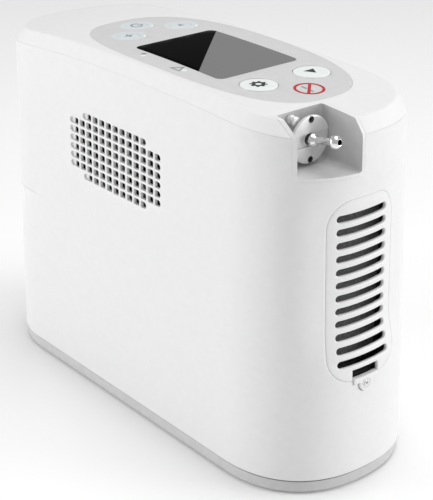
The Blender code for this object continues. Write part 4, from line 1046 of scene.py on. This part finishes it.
def build_outlet():
    back = POCKET_X + 0.3
    front = FLANGE_FRONT - back
    r, hub = FLANGE_RADIUS, front - 1.6
    profile = [(2.3, front - 0.5), (r - 0.7, front - 0.5), (r - 0.25, front - 0.62), (r, front - 0.9)]
    profile += [(r, hub + 0.2), (r - 0.2, hub), (5.5, hub), (5.5, 0.0), (2.3, 0.0)]
    flange = turned("flange_disc", profile, (back, OUTLET_Y, OUTLET_Z), "X", FLANGE, 80, closed=True)
    low = (FLANGE_FRONT - 1.45, OUTLET_Y - 12, OUTLET_Z - 2.6)
    groove = block("cut", low, (FLANGE_FRONT + 2, OUTLET_Y + 12, OUTLET_Z + 2.6), FLANGE)
    seat = [(0, 3), (1.35, 3), (1.35, -0.5), (1.1, -1.1), (1.1, -4), (0, -4)]
    head = [(0, -0.95), (0.55, -0.95), (0.6, -0.45), (0.95, -0.42), (1.15, -0.55), (1.15, -0.75), (0.9, -1.4)]
    head += [(0.9, -2.4), (0, -2.4)]
    face = FLANGE_FRONT - 0.5
    holes = []
    for number, side in ((1, FLANGE_SCREW), (2, -FLANGE_SCREW)):
        centre = (face, OUTLET_Y, OUTLET_Z + side)
        holes.append(turned("cut", seat, centre, "X", SATIN, 32))
        screw = turned(f"socket_screw_{number}", head, centre, "X", DARK, 32)
        place(screw, "satin_metal", f"flange_screw_{number}")
    subtract(flange, groove, *holes)
    place(flange, "satin_metal", "outlet_flange")

    profile = soft([(0, 3.6), (1.7, 3.6), (1.95, 3.2), (1.95, 2.4), (1.45, 2.2), (1.45, 1.5), (1.95, 1.3),
                    (1.95, 0.0), (0.8, 0.0), (0.8, -3.0), (0, -3.0)], 0.12)
    knob = turned("pin_knob", profile, (back, PIN_Y, PIN_Z), "X", FLANGE, 40)
    place(knob, "satin_metal", "locating_pin")

    ball, stem, bore, at = 2.7, 1.35, 1.1, 13.0
    turns = [math.radians(a) for a in range(58, -58, -6)]
    profile = [(bore, at + 1.2), (bore, at + 2.3), (1.3, at + 2.36)]
    profile += [(ball * math.cos(a), at + ball * math.sin(a)) for a in turns]
    profile += [(stem, at - 2.3), (stem, 2.9), (1.9, 2.4), (2.5, 1.8), (2.7, 1.3), (2.6, 0.8), (2.2, 0.7)]
    profile += [(stem, 0.7), (stem, -3.4), (bore, -3.4)]
    tilt = Matrix.Rotation(math.radians(-NOZZLE_TILT), 4, "Y") @ TURN["X"]
    nozzle = turned("nozzle", profile, (FLANGE_FRONT, OUTLET_Y, OUTLET_Z), tilt, CHROME, 64, closed=True)
    place(nozzle, "chrome", "outlet_nozzle")


# --- Filter door


def wall_back(depth):
    """The inner surface of a piece of wall with an even depth."""
    return lambda uv: wall_map(uv, np.full(len(uv), depth))


def build_door():
    sheet = Sheet()
    sheet.loop(on_end(door_outline(0.0), near_s), 0.2, hole=False, extra=(1.3,))
    for row in range(LOUVRES):
        outline = slot(DOOR_Y, LOUVRE_TOP - LOUVRE_PITCH * row, LOUVRE_HALF, LOUVRE_OPEN, 1.5, 8)
        sheet.loop(on_end(outline, near_s), LOUVRE_EDGE, steps=4)
    half, foot = SHOULDER_HALF + SEAM + 0.2, WINDOW_BOTTOM - 8.0
    corners = [(-half, foot), (half, foot), (half, WINDOW_TOP), (-half, WINDOW_TOP)]
    window = spaced(np.array(corners) + (DOOR_Y, 0.0), 1.3)
    sheet.loop(on_end(window, near_s), 0.25)
    sheet.grid(np.arange(-24.0, 22.0, 1.9), np.arange(DOOR_BOTTOM, DOOR_TOP, 1.7), 0.85)
    door = sheet.build("louvred_door", WHITE, wall_map, wall_back(1.3))
    place(door, "white_shell", "filter_cover", body="filter_door")


def build_latch_plate():
    """The plate stands proud of the wall, with the captive screw in its round lug."""
    proud = 0.8
    sheet = Sheet()
    sheet.loop(on_end(latch_outline(-0.2), near_s), 0.4, hole=False, steps=3)
    sheet.loop(on_end(circle(DOOR_Y, LUG_Z, 1.5, 24), near_s), 0.15)
    sheet.grid(np.arange(-9.0, 8.0, 1.1), np.arange(43.0, 51.0, 1.1), 0.55)

    def face(uv, depth):
        return wall_map(uv, depth - proud)

    plate = sheet.build("latch_plate", WHITE, face, wall_back(1.6))
    place(plate, "white_shell", "cover_latch", body="filter_door")
    front = HALF_LENGTH - draft(LUG_Z) + proud
    profile = soft([(0, -0.7), (0.5, -0.7), (0.6, 0.2), (1.35, 0.2), (1.5, -0.35), (1.8, -0.35), (1.95, 0.1),
                    (2.4, 0.06), (2.4, -0.1), (1.2, -0.2), (1.2, -5.2), (0, -5.2)], 0.06)
    screw = turned("captive_screw", profile, (front, DOOR_Y, LUG_Z), "X", SATIN, 40)
    place(screw, "satin_metal", "cover_screw", body="door_screw")


def build_foam():
    low, high = [Vector(corner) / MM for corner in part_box("intake_filter")]
    foam = block("foam_pad", low, high, FOAM, 0.8)
    place(foam, "filter_foam", "intake_filter")


# --- Far end


def build_far_end(guide):
    pack = block("battery_case", (-130, -26, 10), (-12, 26, 80), WHITE, 1.3)
    trim(pack, guide)
    place(pack, "white_shell", "battery_pack", body="battery")

    key = block("latch_key", (-130, -9, LATCH_Z - 4), (-101, 9, LATCH_Z + 4), BASE, 1.1)
    trim(key, guide)
    floor = 0.5 - HALF_LENGTH + draft(LATCH_Z)
    heights = [LATCH_Z + step for step in (-1.8, 0.0, 1.8)]
    subtract(key, *[block("cut", (-130, -5.5, z - 0.35), (floor, 5.5, z + 0.35), BASE) for z in heights])
    place(key, "grey_base", "battery_latch", body="battery_latch")

    face = draft(SOCKET_Z) - HALF_LENGTH
    profile = soft([(3.2, 0.1), (3.5, 0.55), (7.0, 0.55), (7.55, 0.1), (7.55, -1.2), (5.6, -1.2),
                    (5.6, -10.0), (0.0, -10.0)], 0.2)
    profile += [(0.0, -8.5), (3.2, -8.5)]
    socket = turned("power_socket", profile, (face - 0.5, 0.0, SOCKET_Z), "-X", DARK, 56, closed=True)
    place(socket, "dark_plastic", "dc_power_socket")
    profile = [(0.0, 0.6), (0.5, 0.45), (0.7, 0.0), (0.7, -6.0), (0.0, -6.0)]
    pin = turned("socket_pin", profile, (face + 2.4, 0.0, SOCKET_Z), "-X", CHROME, 24)
    place(pin, "chrome")


# --- Stage


def light(name, location, size, power):
    """A rectangular softbox that faces the middle of the body."""
    lamp = bpy.data.lights.new(name, "AREA")
    lamp.shape = "RECTANGLE"
    lamp.size, lamp.size_y = size
    lamp.energy = power
    item = add(name, lamp)
    item.location = location
    aim = Vector((0, 0, 0.08)) - Vector(location)
    item.rotation_euler = aim.to_track_quat("-Z", "Y").to_euler()


def build_stage():
    surface = bpy.data.materials.new("floor")
    surface.use_nodes = True
    white = (1, 1, 1, 1)
    dial(surface.node_tree.nodes["Principled BSDF"], Base_Color=(0.93, 0.93, 0.93, 1), Roughness=0.35,
         Emission_Color=white, Emission_Strength=0.05)
    size = 4000.0
    corners = [(-size, -size, 0), (size, -size, 0), (size, size, 0), (-size, size, 0)]
    item = make("floor", corners, [(0, 1, 2, 3)], surface)
    world = bpy.data.worlds.new("studio")
    world.use_nodes = True
    dial(world.node_tree.nodes["Background"], Color=white, Strength=0.45)
    bpy.context.scene.world = world
    light("left_softbox", (-0.9, -1.15, 0.4), (0.9, 0.9), 11.1)
    light("right_softbox", (1.07, 1.03, 0.4), (0.8, 0.9), 10.4)
    light("top_softbox", (0.12, 0.16, 1.3), (1.0, 0.7), 8.0)
    bpy.context.scene.view_settings.view_transform = "Standard"


def build_camera():
    """A camera at 51 degrees round and 25 degrees up, with the body a little off the lens axis."""
    azimuth, height, roll = math.radians(50.61), math.radians(24.69), math.radians(-0.22)
    turn = Matrix.Rotation(azimuth, 4, "Z") @ Matrix.Rotation(math.pi / 2 - height, 4, "X")
    turn = turn @ Matrix.Rotation(roll, 4, "Z")
    camera = bpy.data.cameras.new("camera")
    camera.lens = 99.94
    camera.sensor_width = 36.0
    item = add("camera", camera)
    offset = Matrix.Translation((0.008934, -0.014622, 0.62299))
    item.matrix_world = Matrix.Translation((0, 0, 0.08243)) @ turn @ offset
    bpy.context.scene.camera = item


dress_cad_nodes()
build_housing()
build_lid()
build_panel()
build_keys()
build_icons()
build_base()
GUIDE = envelope()
build_pocket(GUIDE)
build_outlet()
build_door()
build_latch_plate()
build_foam()
build_far_end(GUIDE)
bpy.data.objects.remove(GUIDE)
build_stage()
build_camera()
